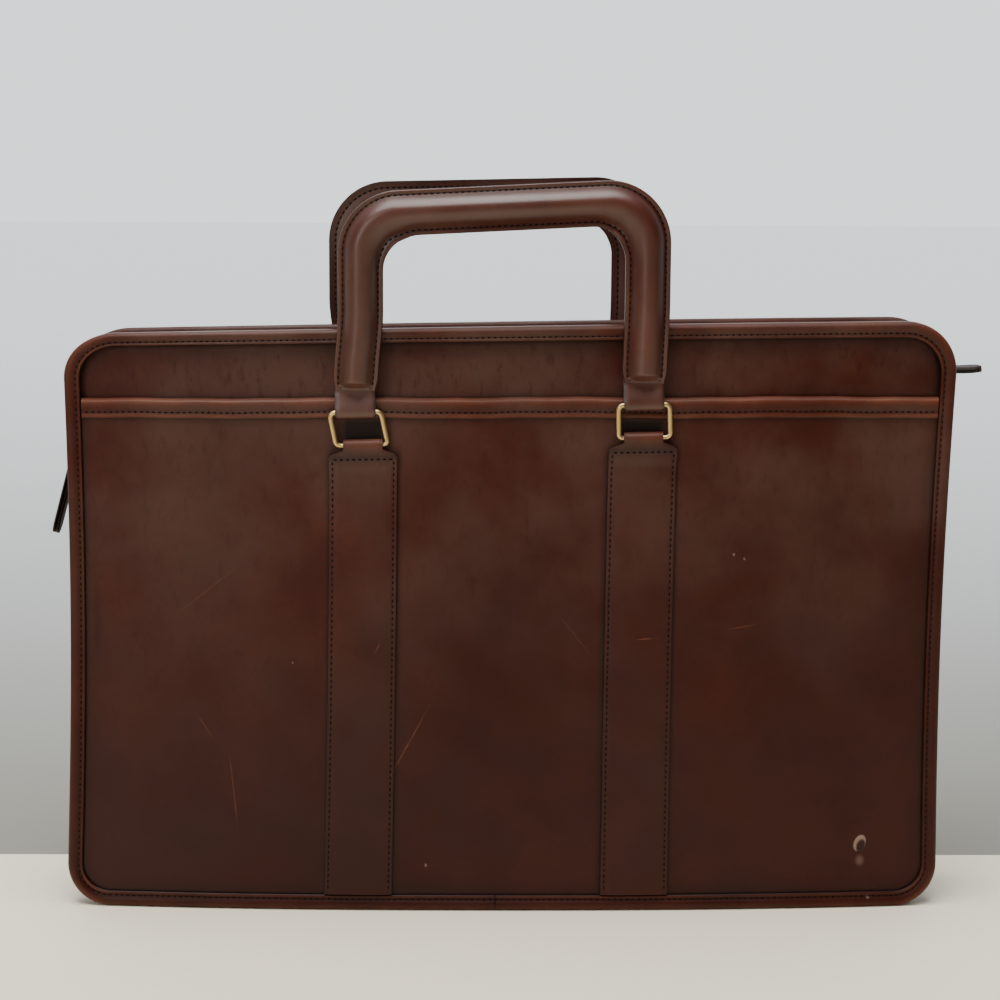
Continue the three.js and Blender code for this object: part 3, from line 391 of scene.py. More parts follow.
def skin(rows, ring=False):
    """Points and faces through a row of equal closed loops, closed on itself or banded at its ends."""
    count, around = rows.shape[:2]
    steps = np.arange(count if ring else count - 1)
    here, following = steps[:, None] * around, ((steps + 1) % count)[:, None] * around
    j = np.arange(around)
    k = (j + 1) % around
    faces = [np.stack([here + j, here + k, following + k, following + j], -1).reshape(-1, 4)]
    if not ring:
        j = np.arange(around // 2 - 1)
        end = (count - 1) * around
        faces.append(np.stack([around - 1 - j, around - 2 - j, j + 1, j], -1))
        faces.append(np.stack([end + j, end + j + 1, end + around - 2 - j, end + around - 1 - j], -1))
    faces = np.vstack(faces)
    points = rows.reshape(-1, 3)
    a, b, c, d = (points[faces[:, i]] for i in range(4))
    volume = np.einsum("ij,ij->", a - points[0], np.cross(b - a, c - a))
    volume += np.einsum("ij,ij->", a - points[0], np.cross(c - a, d - a))
    return points, faces[:, ::-1] if volume < 0 else faces


def new_piece(name, shells, finish, body, marks=None, smooth=38, replaces=()):
    """A finished piece from its shells, smooth under an angle, with named marks on its points."""
    points, faces, start = [], [], 0
    for shell_points, shell_faces in shells:
        points.append(shell_points)
        faces.append(shell_faces + start)
        start += len(shell_points)
    mesh = bpy.data.meshes.new(name)
    mesh.from_pydata(np.vstack(points).tolist(), [], np.vstack(faces).tolist())
    for mark, values in (marks or {}).items():
        layer = mesh.attributes.new(mark, "FLOAT", "POINT")
        layer.data.foreach_set("value", np.concatenate([np.ravel(v) for v in values]).astype(np.float32))
    mesh.shade_smooth()
    mesh.set_sharp_from_angle(angle=math.radians(smooth))
    mesh.materials.append(finish_named(finish))
    piece = bpy.data.objects.new(name, mesh)
    bpy.context.scene.collection.objects.link(piece)
    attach(piece, body)
    if replaces:
        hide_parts(*replaces)
    return piece


def repeated(rows):
    """One shell of many equal blocks: the first one's faces, moved on for each of the others."""
    points, faces = skin(rows[0])
    onward = (np.arange(len(rows)) * len(points))[:, None, None]
    return rows.reshape(-1, 3), (faces + onward).reshape(-1, 4)


def sewn(name, shells, body="case"):
    """A piece of thread from its rows of stitches."""
    new_piece(name, shells, "thread", body)


def lengths_along(points):
    """Distance along a path at each of its points."""
    return np.concatenate([[0], np.cumsum(np.linalg.norm(np.diff(points, axis=0), axis=1))])


def sampled(values, along, places):
    """A path's values read at places along it, straight between its points."""
    return np.stack([np.interp(places, along, values[:, i]) for i in range(3)], -1)


def stitch_shell(points, outward, closed=False):
    """A row of threads along a path: each is a slim capsule whose ends dip into the leather."""
    finish = settings()[2]
    if closed:
        points, outward = np.vstack([points, points[:1]]), np.vstack([outward, outward[:1]])
    along = lengths_along(points)
    count = max(1, round(along[-1] / finish.pitch))
    places = (np.arange(count) + 0.5) * along[-1] / count
    middle, out = sampled(points, along, places), sampled(outward, along, places)
    ahead, behind = np.minimum(places + 0.5 * MM, along[-1]), np.maximum(places - 0.5 * MM, 0)
    forward = unit(sampled(points, along, ahead) - sampled(points, along, behind))
    side = unit(np.cross(forward, out))
    out = np.cross(side, forward)
    s = np.array([-1, -0.72, 0, 0.72, 1])
    radius = finish.thread / 2 * np.array([0.3, 0.9, 1, 0.9, 0.3])
    angle = (np.arange(6) + 0.5) / 6 * 2 * np.pi
    lift = finish.thread * (0.15 - 0.55 * s**2)
    rows = (
        middle[:, None, None]
        + forward[:, None, None] * (s * finish.stitch / 2)[None, :, None, None]
        + side[:, None, None] * (radius[:, None] * np.cos(angle))[None, :, :, None]
        + out[:, None, None] * (lift[:, None] + radius[:, None] * np.sin(angle))[None, :, :, None]
    )
    return repeated(rows)


def add_node(tree, kind, options=None, **inputs):
    """A node with its options set and its inputs given as values or as other nodes' outputs."""
    made = tree.nodes.new(kind)
    for key, value in (options or {}).items():
        setattr(made, key, value)
    for key, value in inputs.items():
        numbered = key[0] == "i" and key[1:].isdigit()
        socket = made.inputs[int(key[1:]) if numbered else key.replace("_", " ")]
        if isinstance(value, bpy.types.NodeSocket):
            tree.links.new(value, socket)
        else:
            socket.default_value = value
    return made


def sums(tree, operation, a, b=0.0, clamp=False):
    """A Math node's output."""
    options = {"operation": operation, "use_clamp": clamp}
    return add_node(tree, "ShaderNodeMath", options, i0=a, i1=b).outputs[0]


def times(tree, a, b, clamp=False):
    """The product of two values."""
    return sums(tree, "MULTIPLY", a, b, clamp)


def plus(tree, a, b):
    """The sum of two values."""
    return sums(tree, "ADD", a, b)


def blend_colours(tree, amount, a, b):
    """A colour mix's output."""
    return add_node(tree, "ShaderNodeMix", {"data_type": "RGBA"}, i0=amount, i6=a, i7=b).outputs[2]


def painted(tree, base, amount, over):
    """A colour covered in part by a plain one."""
    return blend_colours(tree, amount, base, (*over, 1))


def noise(tree, place, scale, detail=3.0, roughness=0.5, distortion=0.0):
    """A noise texture's value."""
    return add_node(
        tree, "ShaderNodeTexNoise", Vector=place, Scale=scale, Detail=detail, Roughness=roughness,
        Distortion=distortion,
    ).outputs[0]


def ranged(tree, value, low, high, to_low=0.0, to_high=1.0):
    """A smooth step of a value between two limits."""
    return add_node(
        tree, "ShaderNodeMapRange", {"interpolation_type": "SMOOTHSTEP"},
        Value=value, From_Min=low, From_Max=high, To_Min=to_low, To_Max=to_high,
    ).outputs[0]


def stretched(tree, place, centre, size, turn=0.0):
    """Places seen from a centre, turned about Y and measured in a size along each axis."""
    return add_node(
        tree, "ShaderNodeMapping", {"vector_type": "TEXTURE"},
        Vector=place, Location=centre, Rotation=(0, -turn, 0), Scale=size,
    ).outputs[0]


def spot(tree, place, centre, size, turn=0.0, edge=0.5):
    """An oval mark on a face: 1 inside, 0 outside, soft at its rim."""
    flat = stretched(tree, place, centre, (size[0], 1000, size[1]), turn)
    far = add_node(tree, "ShaderNodeVectorMath", {"operation": "LENGTH"}, i0=flat).outputs[1]
    return ranged(tree, far, 1.0, edge)


def new_material(name):
    """An empty material with its tree, shader and Object coordinates."""
    material = bpy.data.materials.new(name)
    material.use_nodes = True
    tree = material.node_tree
    shader = tree.nodes["Principled BSDF"]
    place = add_node(tree, "ShaderNodeTexCoord").outputs["Object"]
    return material, tree, shader, place


def mark(tree, name):
    """A piece's own mark."""
    return add_node(tree, "ShaderNodeAttribute", {"attribute_name": name}).outputs["Fac"]


# Scratches on the pocket and straps: start and end in millimetres across and up, width, strength
SCRATCHES = [
    ((-33, 104), (-57, 60), 0.5, 0.5),
    ((-131, 82), (-126, 34), 0.5, 0.35),
    ((-136, 80), (-148, 98), 0.4, 0.3),
    ((103, 136), (122, 139), 0.4, 0.35),
    ((60, 132), (73, 133), 0.5, 0.5),
    ((-62, 124), (-58, 131), 0.6, 0.5),
    ((-158, 140), (-120, 170), 0.4, 0.25),
    ((20, 150), (46, 118), 0.35, 0.2),
]


# Worn marks, and a painted shade along a crease: centre across and up, half width and half height in
# millimetres, turn, soft edge
JOINT = ((-3.9, 3), (0.45, 6), 0, 0.6)
NICK = ((176, 5.2), (1.1, 1.3), 0.5, 0.3)
SIDE_CREASE_SHADE = ((-192.6, 136), (3.4, 29), 0, 0.1)
SCUFF_RIM = ((171.6, 31.5), (3.1, 4.6), -0.35, 0.8)
SCUFF_HOLLOW = ((172.2, 30.2), (2.5, 4.0), -0.35, 0.6)
SMUDGE = ((171.8, 23), (3.0, 3.8), 0, 0.2)
# Pale flecks: across, up and half width in millimetres
FLECKS = ((-37, 22, 0.8), (108, 172, 0.7), (113, 170, 0.6), (-100, 120, 0.5))
# How fine the leather's patterns are: mottling slow, cloudy and fine, patches of painted sheen, creases,
# folds and pores
SLOW, CLOUDY, FINE = 9, 34, 420
PATCHES, CREASES, FOLDS, PORES = 13, 260, 110, 1500.0


def wear_and_shade_spot(tree, place, centre, size, turn=0.0, edge=0.5):
    """An oval spot for worn marks and for painted shade, given in millimetres across and up the case."""
    middle = (centre[0] * MM + ORIGIN_X, 0, centre[1] * MM)
    return spot(tree, place, middle, (size[0] * MM, size[1] * MM), turn, edge)


def leather(name, light, middle, dark, gloss=0.4, creases=0.5, shine=0.2, worn=""):
    """Old waxed leather: slow and fine mottling, pores, creases, rubbed light, painted dark edges and the
    painted shade of the dark mark, with painted shade towards the bottom and a painted sheen on the upper
    parts.
    """
    material, tree, shader, place = new_material(name)
    finish = settings()[2]
    upright = stretched(tree, place, (0, 0, 0), (1, 1, 2.4))
    slow = noise(tree, place, SLOW, 3, 0.5)
    cloudy = noise(tree, place, CLOUDY, 5, 0.6)
    fine = noise(tree, place, FINE, 3, 0.6)
    mixed = plus(tree, times(tree, slow, 0.55), times(tree, cloudy, 0.45))
    height = add_node(tree, "ShaderNodeSeparateXYZ", Vector=place).outputs[2]
    # Painted shade: the leather darkens towards the bottom, over its lowest quarter metre.
    low = ranged(tree, height, 0.25, 0.0, 0.0, 0.22)
    tone = sums(tree, "SUBTRACT", mixed, low)
    base = blend_colours(tree, ranged(tree, tone, 0.1, 0.72), (*dark, 1), (*middle, 1))
    base = painted(tree, base, ranged(tree, tone, 0.5, 0.85, 0, 0.3), light)
    base = painted(tree, base, ranged(tree, fine, 0.35, 0.7, 0, 0.22), dark)
    # Painted sheen: a pale grey-brown laid in slow patches over the upper parts, stronger towards the top.
    patches = noise(tree, place, PATCHES, 4, 0.55)
    sheen_by_height = ranged(tree, height, 0.05, 0.28, 0.04, 0.42)
    painted_sheen = times(tree, sheen_by_height, ranged(tree, patches, 0.36, 0.66))
    base = painted(tree, base, painted_sheen, PAINTED_SHEEN)
    grain = ranged(tree, noise(tree, upright, CREASES, 5, 0.7), 0.5, 0.7, 0, 0.55)
    base = painted(tree, base, times(tree, grain, creases), dark)
    rub = times(tree, mark(tree, "rub"), ranged(tree, cloudy, 0.3, 0.7, 0.45, 1.0), clamp=True)
    base = painted(tree, base, rub, light)
    # The dark mark: edge paint on cut edges, and painted shade beside seams, under the straps, inside the
    # front rings and along the gusset's fold.
    base = painted(tree, base, mark(tree, "dark"), finish.edge_paint_and_shade)
    uneven = ranged(tree, slow, 0.3, 0.7, gloss - 0.07, gloss + 0.08)
    rough = plus(tree, uneven, times(tree, fine, 0.06))
    dent = 0.0
    if worn == "binding":
        joint, nick = wear_and_shade_spot(tree, place, *JOINT), wear_and_shade_spot(tree, place, *NICK)
        base = painted(tree, base, times(tree, joint, 0.9), finish.edge_paint_and_shade)
        base = painted(tree, base, times(tree, nick, 0.35), RAW_LEATHER)
        dent = times(tree, joint, -1.5)
    if worn == "front":
        for start, end, width, strength in SCRATCHES:
            a, b = np.array(start), np.array(end)
            turn = math.atan2(b[1] - a[1], b[0] - a[0])
            line = wear_and_shade_spot(tree, place, (a + b) / 2, (math.dist(a, b) / 2, width), turn, 0.2)
            gaps = ranged(tree, noise(tree, place, CREASES, 2), 0.35, 0.6, 0.2, strength)
            base = painted(tree, base, times(tree, line, gaps), light)
        # Painted shade along a shallow crease near the left side.
        base = painted(tree, base, times(tree, wear_and_shade_spot(tree, place, *SIDE_CREASE_SHADE), 0.55), dark)
        base, dent = scuff(tree, place, base)
    tree.links.new(base, shader.inputs["Base Color"])
    tree.links.new(rough, shader.inputs["Roughness"])
    pores = add_node(tree, "ShaderNodeTexVoronoi", Vector=place, Scale=PORES).outputs[0]
    folds = noise(tree, upright, FOLDS, 6, 0.64, 0.6)
    small = plus(tree, times(tree, pores, 0.35), times(tree, fine, 0.5))
    deep = plus(tree, times(tree, folds, creases), dent)
    fine_bump = add_node(tree, "ShaderNodeBump", Strength=0.22, Distance=0.12 * MM, Height=small).outputs[0]
    bump = add_node(
        tree, "ShaderNodeBump", Strength=0.5, Distance=0.6 * MM, Height=deep, Normal=fine_bump
    ).outputs[0]
    tree.links.new(bump, shader.inputs["Normal"])
    shader.inputs["Specular IOR Level"].default_value = shine
    return material


def scuff(tree, place, base):
    """The scuff at the lower right: a pale crescent round a dark hollow, a smudge below, and specks."""
    outer, hollow = wear_and_shade_spot(tree, place, *SCUFF_RIM), wear_and_shade_spot(tree, place, *SCUFF_HOLLOW)
    crescent = times(tree, outer, sums(tree, "SUBTRACT", 1.0, hollow), clamp=True)
    base = painted(tree, base, times(tree, wear_and_shade_spot(tree, place, *SMUDGE), 0.16), RAW_LEATHER)
    base = painted(tree, base, times(tree, hollow, 0.6), HOLLOW)
    base = painted(tree, base, times(tree, crescent, 0.5), RAW_LEATHER)
    for x, z, size in FLECKS:
        fleck = wear_and_shade_spot(tree, place, (x, z), (size, size * 1.4), 0.2)
        base = painted(tree, base, times(tree, fleck, 0.25), RAW_LEATHER)
    return base, times(tree, hollow, -2.5)


def brass_finish(colour_value):
    """Polished brass with a slow tarnish and fine rubbing marks."""
    material, tree, shader, place = new_material("brass")
    tarnish = noise(tree, place, 240, 4, 0.6)
    dull = tuple(c * k for c, k in zip(colour_value, (0.62, 0.6, 0.42)))
    base = blend_colours(tree, ranged(tree, tarnish, 0.42, 0.7), (*colour_value, 1), (*dull, 1))
    tree.links.new(base, shader.inputs["Base Color"])
    tree.links.new(ranged(tree, tarnish, 0.3, 0.8, 0.1, 0.26), shader.inputs["Roughness"])
    shader.inputs["Metallic"].default_value = 1.0
    rubbing = noise(tree, place, 900, 3)
    bump = add_node(tree, "ShaderNodeBump", Strength=0.1, Distance=0.1 * MM, Height=rubbing)
    tree.links.new(bump.outputs[0], shader.inputs["Normal"])
    return material


def cloth_finish(name, colour_value, weave):
    """Dark cloth or waxed thread: a crossed weave in Object coordinates."""
    material, tree, shader, place = new_material(name)
    diagonal = {"bands_direction": "DIAGONAL"}
    wave = add_node(tree, "ShaderNodeTexWave", diagonal, Vector=place, Scale=weave, Distortion=1.0)
    grain = noise(tree, place, weave * 1.5, 3, 0.6)
    paler = tuple(min(1, c * 1.9) for c in colour_value)
    base = blend_colours(tree, ranged(tree, grain, 0.3, 0.7), (*colour_value, 1), (*paler, 1))
    tree.links.new(base, shader.inputs["Base Color"])
    shader.inputs["Roughness"].default_value = 0.75
    shader.inputs["Specular IOR Level"].default_value = 0.12
    bump = add_node(tree, "ShaderNodeBump", Strength=0.5, Distance=0.2 * MM, Height=wave.outputs[1])
    tree.links.new(bump.outputs[0], shader.inputs["Normal"])
    return material


def finish_named(name):
    """A finish by name, made once."""
    if name in bpy.data.materials:
        return bpy.data.materials[name]
    look = settings()[2]
    light, middle, dark = map(tuple, (look.leather_light, look.leather_mid, look.leather_dark))
    if name == "pocket_leather":
        return leather(name, light, middle, dark, 0.4, 0.5, worn="front")
    if name == "panel_leather":
        return leather(name, light, middle, dark, 0.38, 0.9)
    if name == "strap_leather":
        return leather(name, light, middle, dark, 0.37, 0.4, 0.22, worn="front")
    if name == "binding_leather":
        return leather(name, light, middle, dark, 0.4, 0.35, 0.17, worn="binding")
    if name == "handle_leather":
        return leather(name, tuple(c * 0.8 for c in light), middle, dark, 0.33, 0.25, 0.5)
    if name == "black_leather":
        plain = tuple(look.pull_leather)
        paler, deeper = tuple(c * 1.8 for c in plain), tuple(c * 0.6 for c in plain)
        return leather(name, paler, plain, deeper, 0.5, 0.3, 0.15)
    if name == "brass":
        return brass_finish(tuple(look.brass))
    if name == "thread":
        return cloth_finish(name, tuple(look.thread_colour), 900.0)
    return cloth_finish(name, tuple(look.tape), 700.0)


def half_width_at(z, inset):
    """Half the outline's width at a height, inset from its edge: straight sides and round corners."""
    body = settings()[0]
    radius = np.where(z < body.height / 2, body.corner_low, body.corner_top)
    to_edge = np.minimum(z, body.height - z)
    round_part = np.sqrt(np.maximum((radius - inset) ** 2 - (radius - to_edge) ** 2, 0))
    return body.width / 2 - np.where(to_edge >= radius, inset, radius - round_part)


def sheet_shell(face, depth, thickness, high):
    """A sheet in the shape of a face: rows from side to side, close together at the corners."""
    body = settings()[0]
    turn = np.linspace(0, np.pi / 2, 15)
    low = body.corner_low - (body.corner_low - SHEET_INSET) * np.cos(turn)
    top = body.height - body.corner_top + (body.corner_top - SHEET_INSET) * np.cos(turn[::-1])
    between = np.linspace(body.corner_low, body.height - body.corner_top, 74)[1:-1]
    z = np.concatenate([low, between, top])
    z = np.append(z[z < high - 0.5 * MM], high)[:, None]
    across = np.sin(np.linspace(-1, 1, 141) * np.pi / 2 * SHEET_SPREAD) / math.sin(np.pi / 2 * SHEET_SPREAD)
    x = half_width_at(z, SHEET_INSET) * across
    outer = face_point(face, x, z, depth)
    inner = face_point(face, x, z, depth + thickness)
    rows = np.concatenate([outer, inner[:, ::-1]], 1)
    dark = seam_shadow(face, x, z)
    return skin(rows), np.concatenate([dark, dark * 0], 1)


def seam_shadow(face, x, z):
    """Painted shade with dark dye beside the seams: along the binding's inner edge, the pocket's edge and
    straps, and inside the front rings.
    """
    body, carry, _ = settings()
    inner = half_width_at(z, body.binding)
    to_side = inner - np.abs(x)
    to_end = np.minimum(z, body.height - z) - body.binding
    seam = np.minimum(to_side, to_end)
    # At the binding's inner edge, a dark line of dye and painted shade, then a wider painted shade up to 8
    # mm in from it.
    dark = 0.9 * (1 - smoothstep(seam, 0.2 * MM, 1.3 * MM))
    dark = np.maximum(dark, 0.25 * (1 - smoothstep(seam, 1 * MM, 8 * MM)))
    # On the front, a dark line along the foot of the pocket's edge strip: dye and painted shade.
    if face.sign < 0:
        edge = body.height - body.pocket_drop - body.pocket_edge
        dark = np.maximum(dark, 0.9 * (1 - smoothstep(np.abs(z - edge), 0.3 * MM, 1.4 * MM)))
    bar = body.height - body.pocket_drop - carry.ring_drop
    for side in (-1, 1):
        strap = carry.centre + side * carry.spacing / 2
        beside = np.abs(x - strap) - carry.strap_width / 2
        under_ring = smoothstep(bar - z, 0, 6 * MM)
        # Painted shadow on the pocket inside each front ring, between the handle's tab and the strap.
        if face.sign < 0:
            wide = 1 - smoothstep(np.abs(x - strap), 9 * MM, 12 * MM)
            tall = 1 - smoothstep(np.abs(z - bar - 5.5 * MM), 5 * MM, 8 * MM)
            dark = np.maximum(dark, 0.95 * wide * tall)
        # Painted shade beside each strap, under its ring.
        dark = np.maximum(dark, 0.75 * under_ring * (1 - smoothstep(beside, 0.2 * MM, 1.6 * MM)))
    return dark


def build_faces():
    """The two panels, the pocket and the strip over its edge."""
    body = settings()[0]
    top, mouth = body.height - SHEET_INSET, body.height - body.pocket_drop
    front, back = face_of("front"), face_of("back")
    sheets = [
        ("upper_front_leather", "front_panel", front, front.panel, PANEL_LEATHER, top, "panel_leather"),
        ("back_leather", "back_panel", back, 0, PANEL_LEATHER, top, "panel_leather"),
        ("pocket_front", "front_pocket", front, 0, POCKET_LEATHER, mouth, "pocket_leather"),
    ]
    for name, node, face, depth, thickness, high, finish in sheets:
        shell, dark = sheet_shell(face, depth, thickness, high)
        new_piece(name, [shell], finish, "case", {"dark": [dark]}, replaces=(node,))
    build_pocket_edge(front)


# Half outline of the pocket's folded strip: height under its crest, how far it stands out, and how
# dark and how rubbed it is, in millimetres and shares
POCKET_EDGE_ROWS = np.array([
    (9.5, 0.35, 1.0, 0), (9.35, 0.95, 0.8, 0), (8.8, 1.3, 0.1, 0.4), (8.0, 1.45, 0, 0.7),
    (7.3, 1.3, 0.1, 0.5), (6.7, 1.05, 0.15, 0), (6.2, 0.95, 0.2, 0), (5.7, 1.05, 0.1, 0),
    (5.0, 1.35, 0.1, 0), (3.8, 1.6, 0, 0.1), (2.4, 1.65, 0, 0.3), (1.2, 1.5, 0, 0.7), (0.5, 1.2, 0, 1.0),
    (0.1, 0.7, 0, 0.9), (-0.5, 0.1, 0, 0.7), (-0.9, -0.7, 0.1, 0.3), (-0.8, -1.4, 0.3, 0),
])


def waver(x):
    """How a hand-folded edge rises and falls along the case: two sines."""
    return 0.25 * MM * np.sin(x * 60) + 0.12 * MM * np.sin(x * 210 + 1)


def build_pocket_edge(face):
    """The strip over the pocket's edge: its section carried from binding to binding."""
    body = settings()[0]
    crest = body.height - body.pocket_drop + SEAM_GAP
    drop, out, dark, rub = POCKET_EDGE_ROWS.T
    behind = POCKET_LEATHER + SEAM_GAP
    inner = np.array([
        (body.pocket_edge, -behind - EDGE_LEATHER), (body.pocket_edge, -behind), (0.3 * MM, -behind),
        (0.2 * MM, SEAM_GAP), (body.pocket_edge, SEAM_GAP),
    ])
    fall = np.concatenate([drop * MM, inner[:, 0]])
    stand = np.concatenate([out * MM, inner[:, 1]])
    half = body.width / 2 - body.binding - SEAM_GAP
    x = np.linspace(-half, half, 181)[:, None]
    rows = face_point(face, x, crest - fall[None, :] + waver(x), -stand[None, :])
    blank = np.zeros(len(inner))
    shade = np.tile(np.concatenate([dark, blank]), (len(x), 1))
    worn = np.tile(np.concatenate([rub, blank]), (len(x), 1)) * 0.6
    new_piece("pocket_edge_strip", [skin(rows)], "binding_leather", "case",
              {"dark": [shade], "rub": [worn]}, replaces=("pocket_edge",))
    x = np.linspace(-half + 1 * MM, half - 1 * MM, 300)
    path = face_point(face, x, crest - POCKET_GROOVE + waver(x), -0.85 * MM)
    sewn("pocket_edge_stitches", [stitch_shell(path, facing(face.sign, len(x)))])


# Face side of the binding: distance in from its outer edge, how far it stands out, dark and rubbed
BINDING_ROWS = np.array([
    (7.6, 0.35, 1.0, 0), (7.5, 1.0, 0.8, 0), (7.1, 1.45, 0.1, 0.3), (6.6, 1.55, 0, 0.6),
    (6.1, 1.35, 0.2, 0.4), (5.75, 1.15, 0.15, 0), (5.4, 1.1, 0.2, 0), (5.05, 1.25, 0.1, 0),
    (4.5, 1.7, 0.05, 0), (3.6, 2.1, 0, 0.1), (2.6, 2.25, 0, 0.3), (1.7, 2.1, 0, 0.5),
    (0.9, 1.65, 0, 0.7), (0.35, 0.95, 0, 0.8), (0.05, 0.1, 0, 0.5),
])


def build_bindings():
    """The rounded bindings: one section carried round the outline of each face, and their stitches."""
    body = settings()[0]
    at = outline(3 * MM, 18)
    for name in ("front", "back"):
        face = face_of(name)
        inset, out, dark, rub = BINDING_ROWS.T
        back = face.inside + SEAM_GAP
        behind = np.array([
            (0.0, -back + 0.5 * MM), (0.2 * MM, -back - 0.5 * MM), (1.2 * MM, -back - 1.35 * MM),
            (3.4 * MM, -back - 1.8 * MM), (5.2 * MM, -back - 1.4 * MM), (6.2 * MM, -back - 1.2 * MM),
            (7.2 * MM, -back - 1.3 * MM), (body.binding, -back - 0.9 * MM), (body.binding, -back),
            (BINDING_LEATHER, -back), (BINDING_LEATHER, SEAM_GAP), (body.binding - 0.1 * MM, SEAM_GAP),
        ])
        ins = np.concatenate([inset * MM, behind[:, 0]])[None, :]
        stand = np.concatenate([out * MM, behind[:, 1]])[None, :]
        rows = seam_point(face, at, ins, -stand)
        shade = np.tile(np.concatenate([dark, np.zeros(6), [0.6, 1, 1, 0, 0, 1]]), (len(at.x), 1))
        corner = np.abs(at.nx * at.nz) + 0.12 + 0.2 * (at.nz < -0.5)
        worn = np.concatenate([rub, np.zeros(len(behind))])[None, :] * corner
        new_piece(f"{name}_binding_leather", [skin(rows, ring=True)], "binding_leather", "case",
                  {"dark": [shade], "rub": [worn]}, replaces=(f"{name}_binding",))
        path = seam_point(face, at, BINDING_GROOVE, -1.0 * MM)[:, 0]
        outward = facing(face.sign, len(path))
        rear = seam_point(face, at, REAR_GROOVE, back + 1.25 * MM)[:, 0]
        shells = [stitch_shell(path, outward, closed=True), stitch_shell(rear, -outward, closed=True)]
        sewn(f"{name}_binding_stitches", shells)


def build_gusset():
    """The strip round the sides and base: flanges along the faces and a web that bellies or folds."""
    body = settings()[0]
    at = run_of("gusset")
    front, back = face_of("front"), face_of("back")
    drop = np.maximum(-at.nz, 0) ** 2 * body.gusset_drop - at.nx**2 * body.gusset_tuck
    across = np.linspace(-1, 1, 33)[None, 1:-1]
    crease = 0.7 * MM * np.exp(-((across / 0.07) ** 2)) * at.nx**2
    outer_inset = body.binding + WEB_GAP
    sides = []
    for inset, kind in ((outer_inset + GUSSET_LEATHER, "flange"), (outer_inset, "inside")):
        parts = [
            seam_point(front, at, np.array([[SHEET_INSET, inset - 0.6 * MM]]), getattr(front, kind)),
            web_point(at, inset + crease, across, drop),
            seam_point(back, at, np.array([[inset - 0.6 * MM, SHEET_INSET]]), getattr(back, kind)),
        ]
        sides.append(np.concatenate(parts, 1))
    rows = np.concatenate([sides[0], sides[1][:, ::-1]], 1)
    # Painted shade along the inward fold of the side gussets.
    fold = np.exp(-((across / 0.05) ** 2)) * 0.5 * at.nx**2
    rim = np.tile([0.8, 0.5], (len(at.x), 1))
    shade = np.concatenate([rim, fold, rim[:, ::-1]], 1)
    new_piece("gusset_leather", [skin(rows)], "panel_leather", "case",
              {"dark": [np.concatenate([shade, shade[:, ::-1]], 1)]}, replaces=("gusset",))


def build_zip():
    """The zip: leather strips, cloth tape, teeth, slider, pull and end tab."""
    body = settings()[0]
    at = run_of("zip")
    outer = body.binding + WEB_GAP
    inner = outer + GUSSET_LEATHER
    for name in ("front", "back"):
        face = face_of(name)
        edge = web_share(at, face.sign * body.zip_opening / 2)
        t = np.linspace(0, 1, 12)[None, :]
        across = lerp(face.sign * 0.985, edge, t)
        loops = []
        for inset, depth in ((inner, face.flange), (outer, face.inside)):
            flange = seam_point(face, at, np.array([[SHEET_INSET, inset - 0.5 * MM]]), depth)
            loops.append(np.concatenate([flange, web_point(at, inset, across, -body.top_sink)], 1))
        rows = np.concatenate([loops[0], loops[1][:, ::-1]], 1)
        free_edge = np.where(t > 0.98, 0.9, 0) + 0 * edge
        shade = np.concatenate([np.full((len(at.x), 2), 0.8), free_edge], 1)
        new_piece(f"zip_{name}_leather", [skin(rows)], "panel_leather", "case",
                  {"dark": [np.concatenate([shade, shade[:, ::-1]], 1)]}, replaces=(f"zip_strip_{name}",))
        for number, inboard in enumerate(ZIP_GROOVES):
            row_share = web_share(at, face.sign * (body.zip_opening / 2 + inboard))
            path = web_point(at, outer - 0.05 * MM, row_share, -body.top_sink)[:, 0]
            outward = np.hstack([at.nx, at.nx * 0, at.nz])
            sewn(f"zip_{name}_stitches_{number + 1}", [stitch_shell(path, outward)])
    tape = zip_ribbon(at, body.tape_width, inner + SEAM_GAP, TAPE_CLOTH, 15)
    new_piece("zip_cloth_tape", [skin(tape)], "tape", "case", replaces=("zip_tape",))
    build_teeth(at, inner)
    slider = bpy.data.objects["zip_slider"]
    slider.data.materials.clear()
    slider.data.materials.append(finish_named("brass"))
    weld = slider.modifiers.new("weld", "WELD")
    weld.merge_threshold = 0.01 * MM
    bevel = slider.modifiers.new("bevel", "BEVEL")
    bevel.width = 0.3 * MM
    bevel.segments = 3
    build_pull()
    build_end_tab()


def zip_ribbon(at, width, outer, thickness, columns):
    """Loops of a flat ribbon along the zip, centred on it."""
    sink = settings()[0].top_sink
    places = np.linspace(-1, 1, columns)
    across = np.concatenate([web_share(at, side * width / 2) for side in places], 1)
    top = web_point(at, outer, across, -sink)
    under = web_point(at, outer + thickness, across, -sink)
    return np.concatenate([top, under[:, ::-1]], 1)


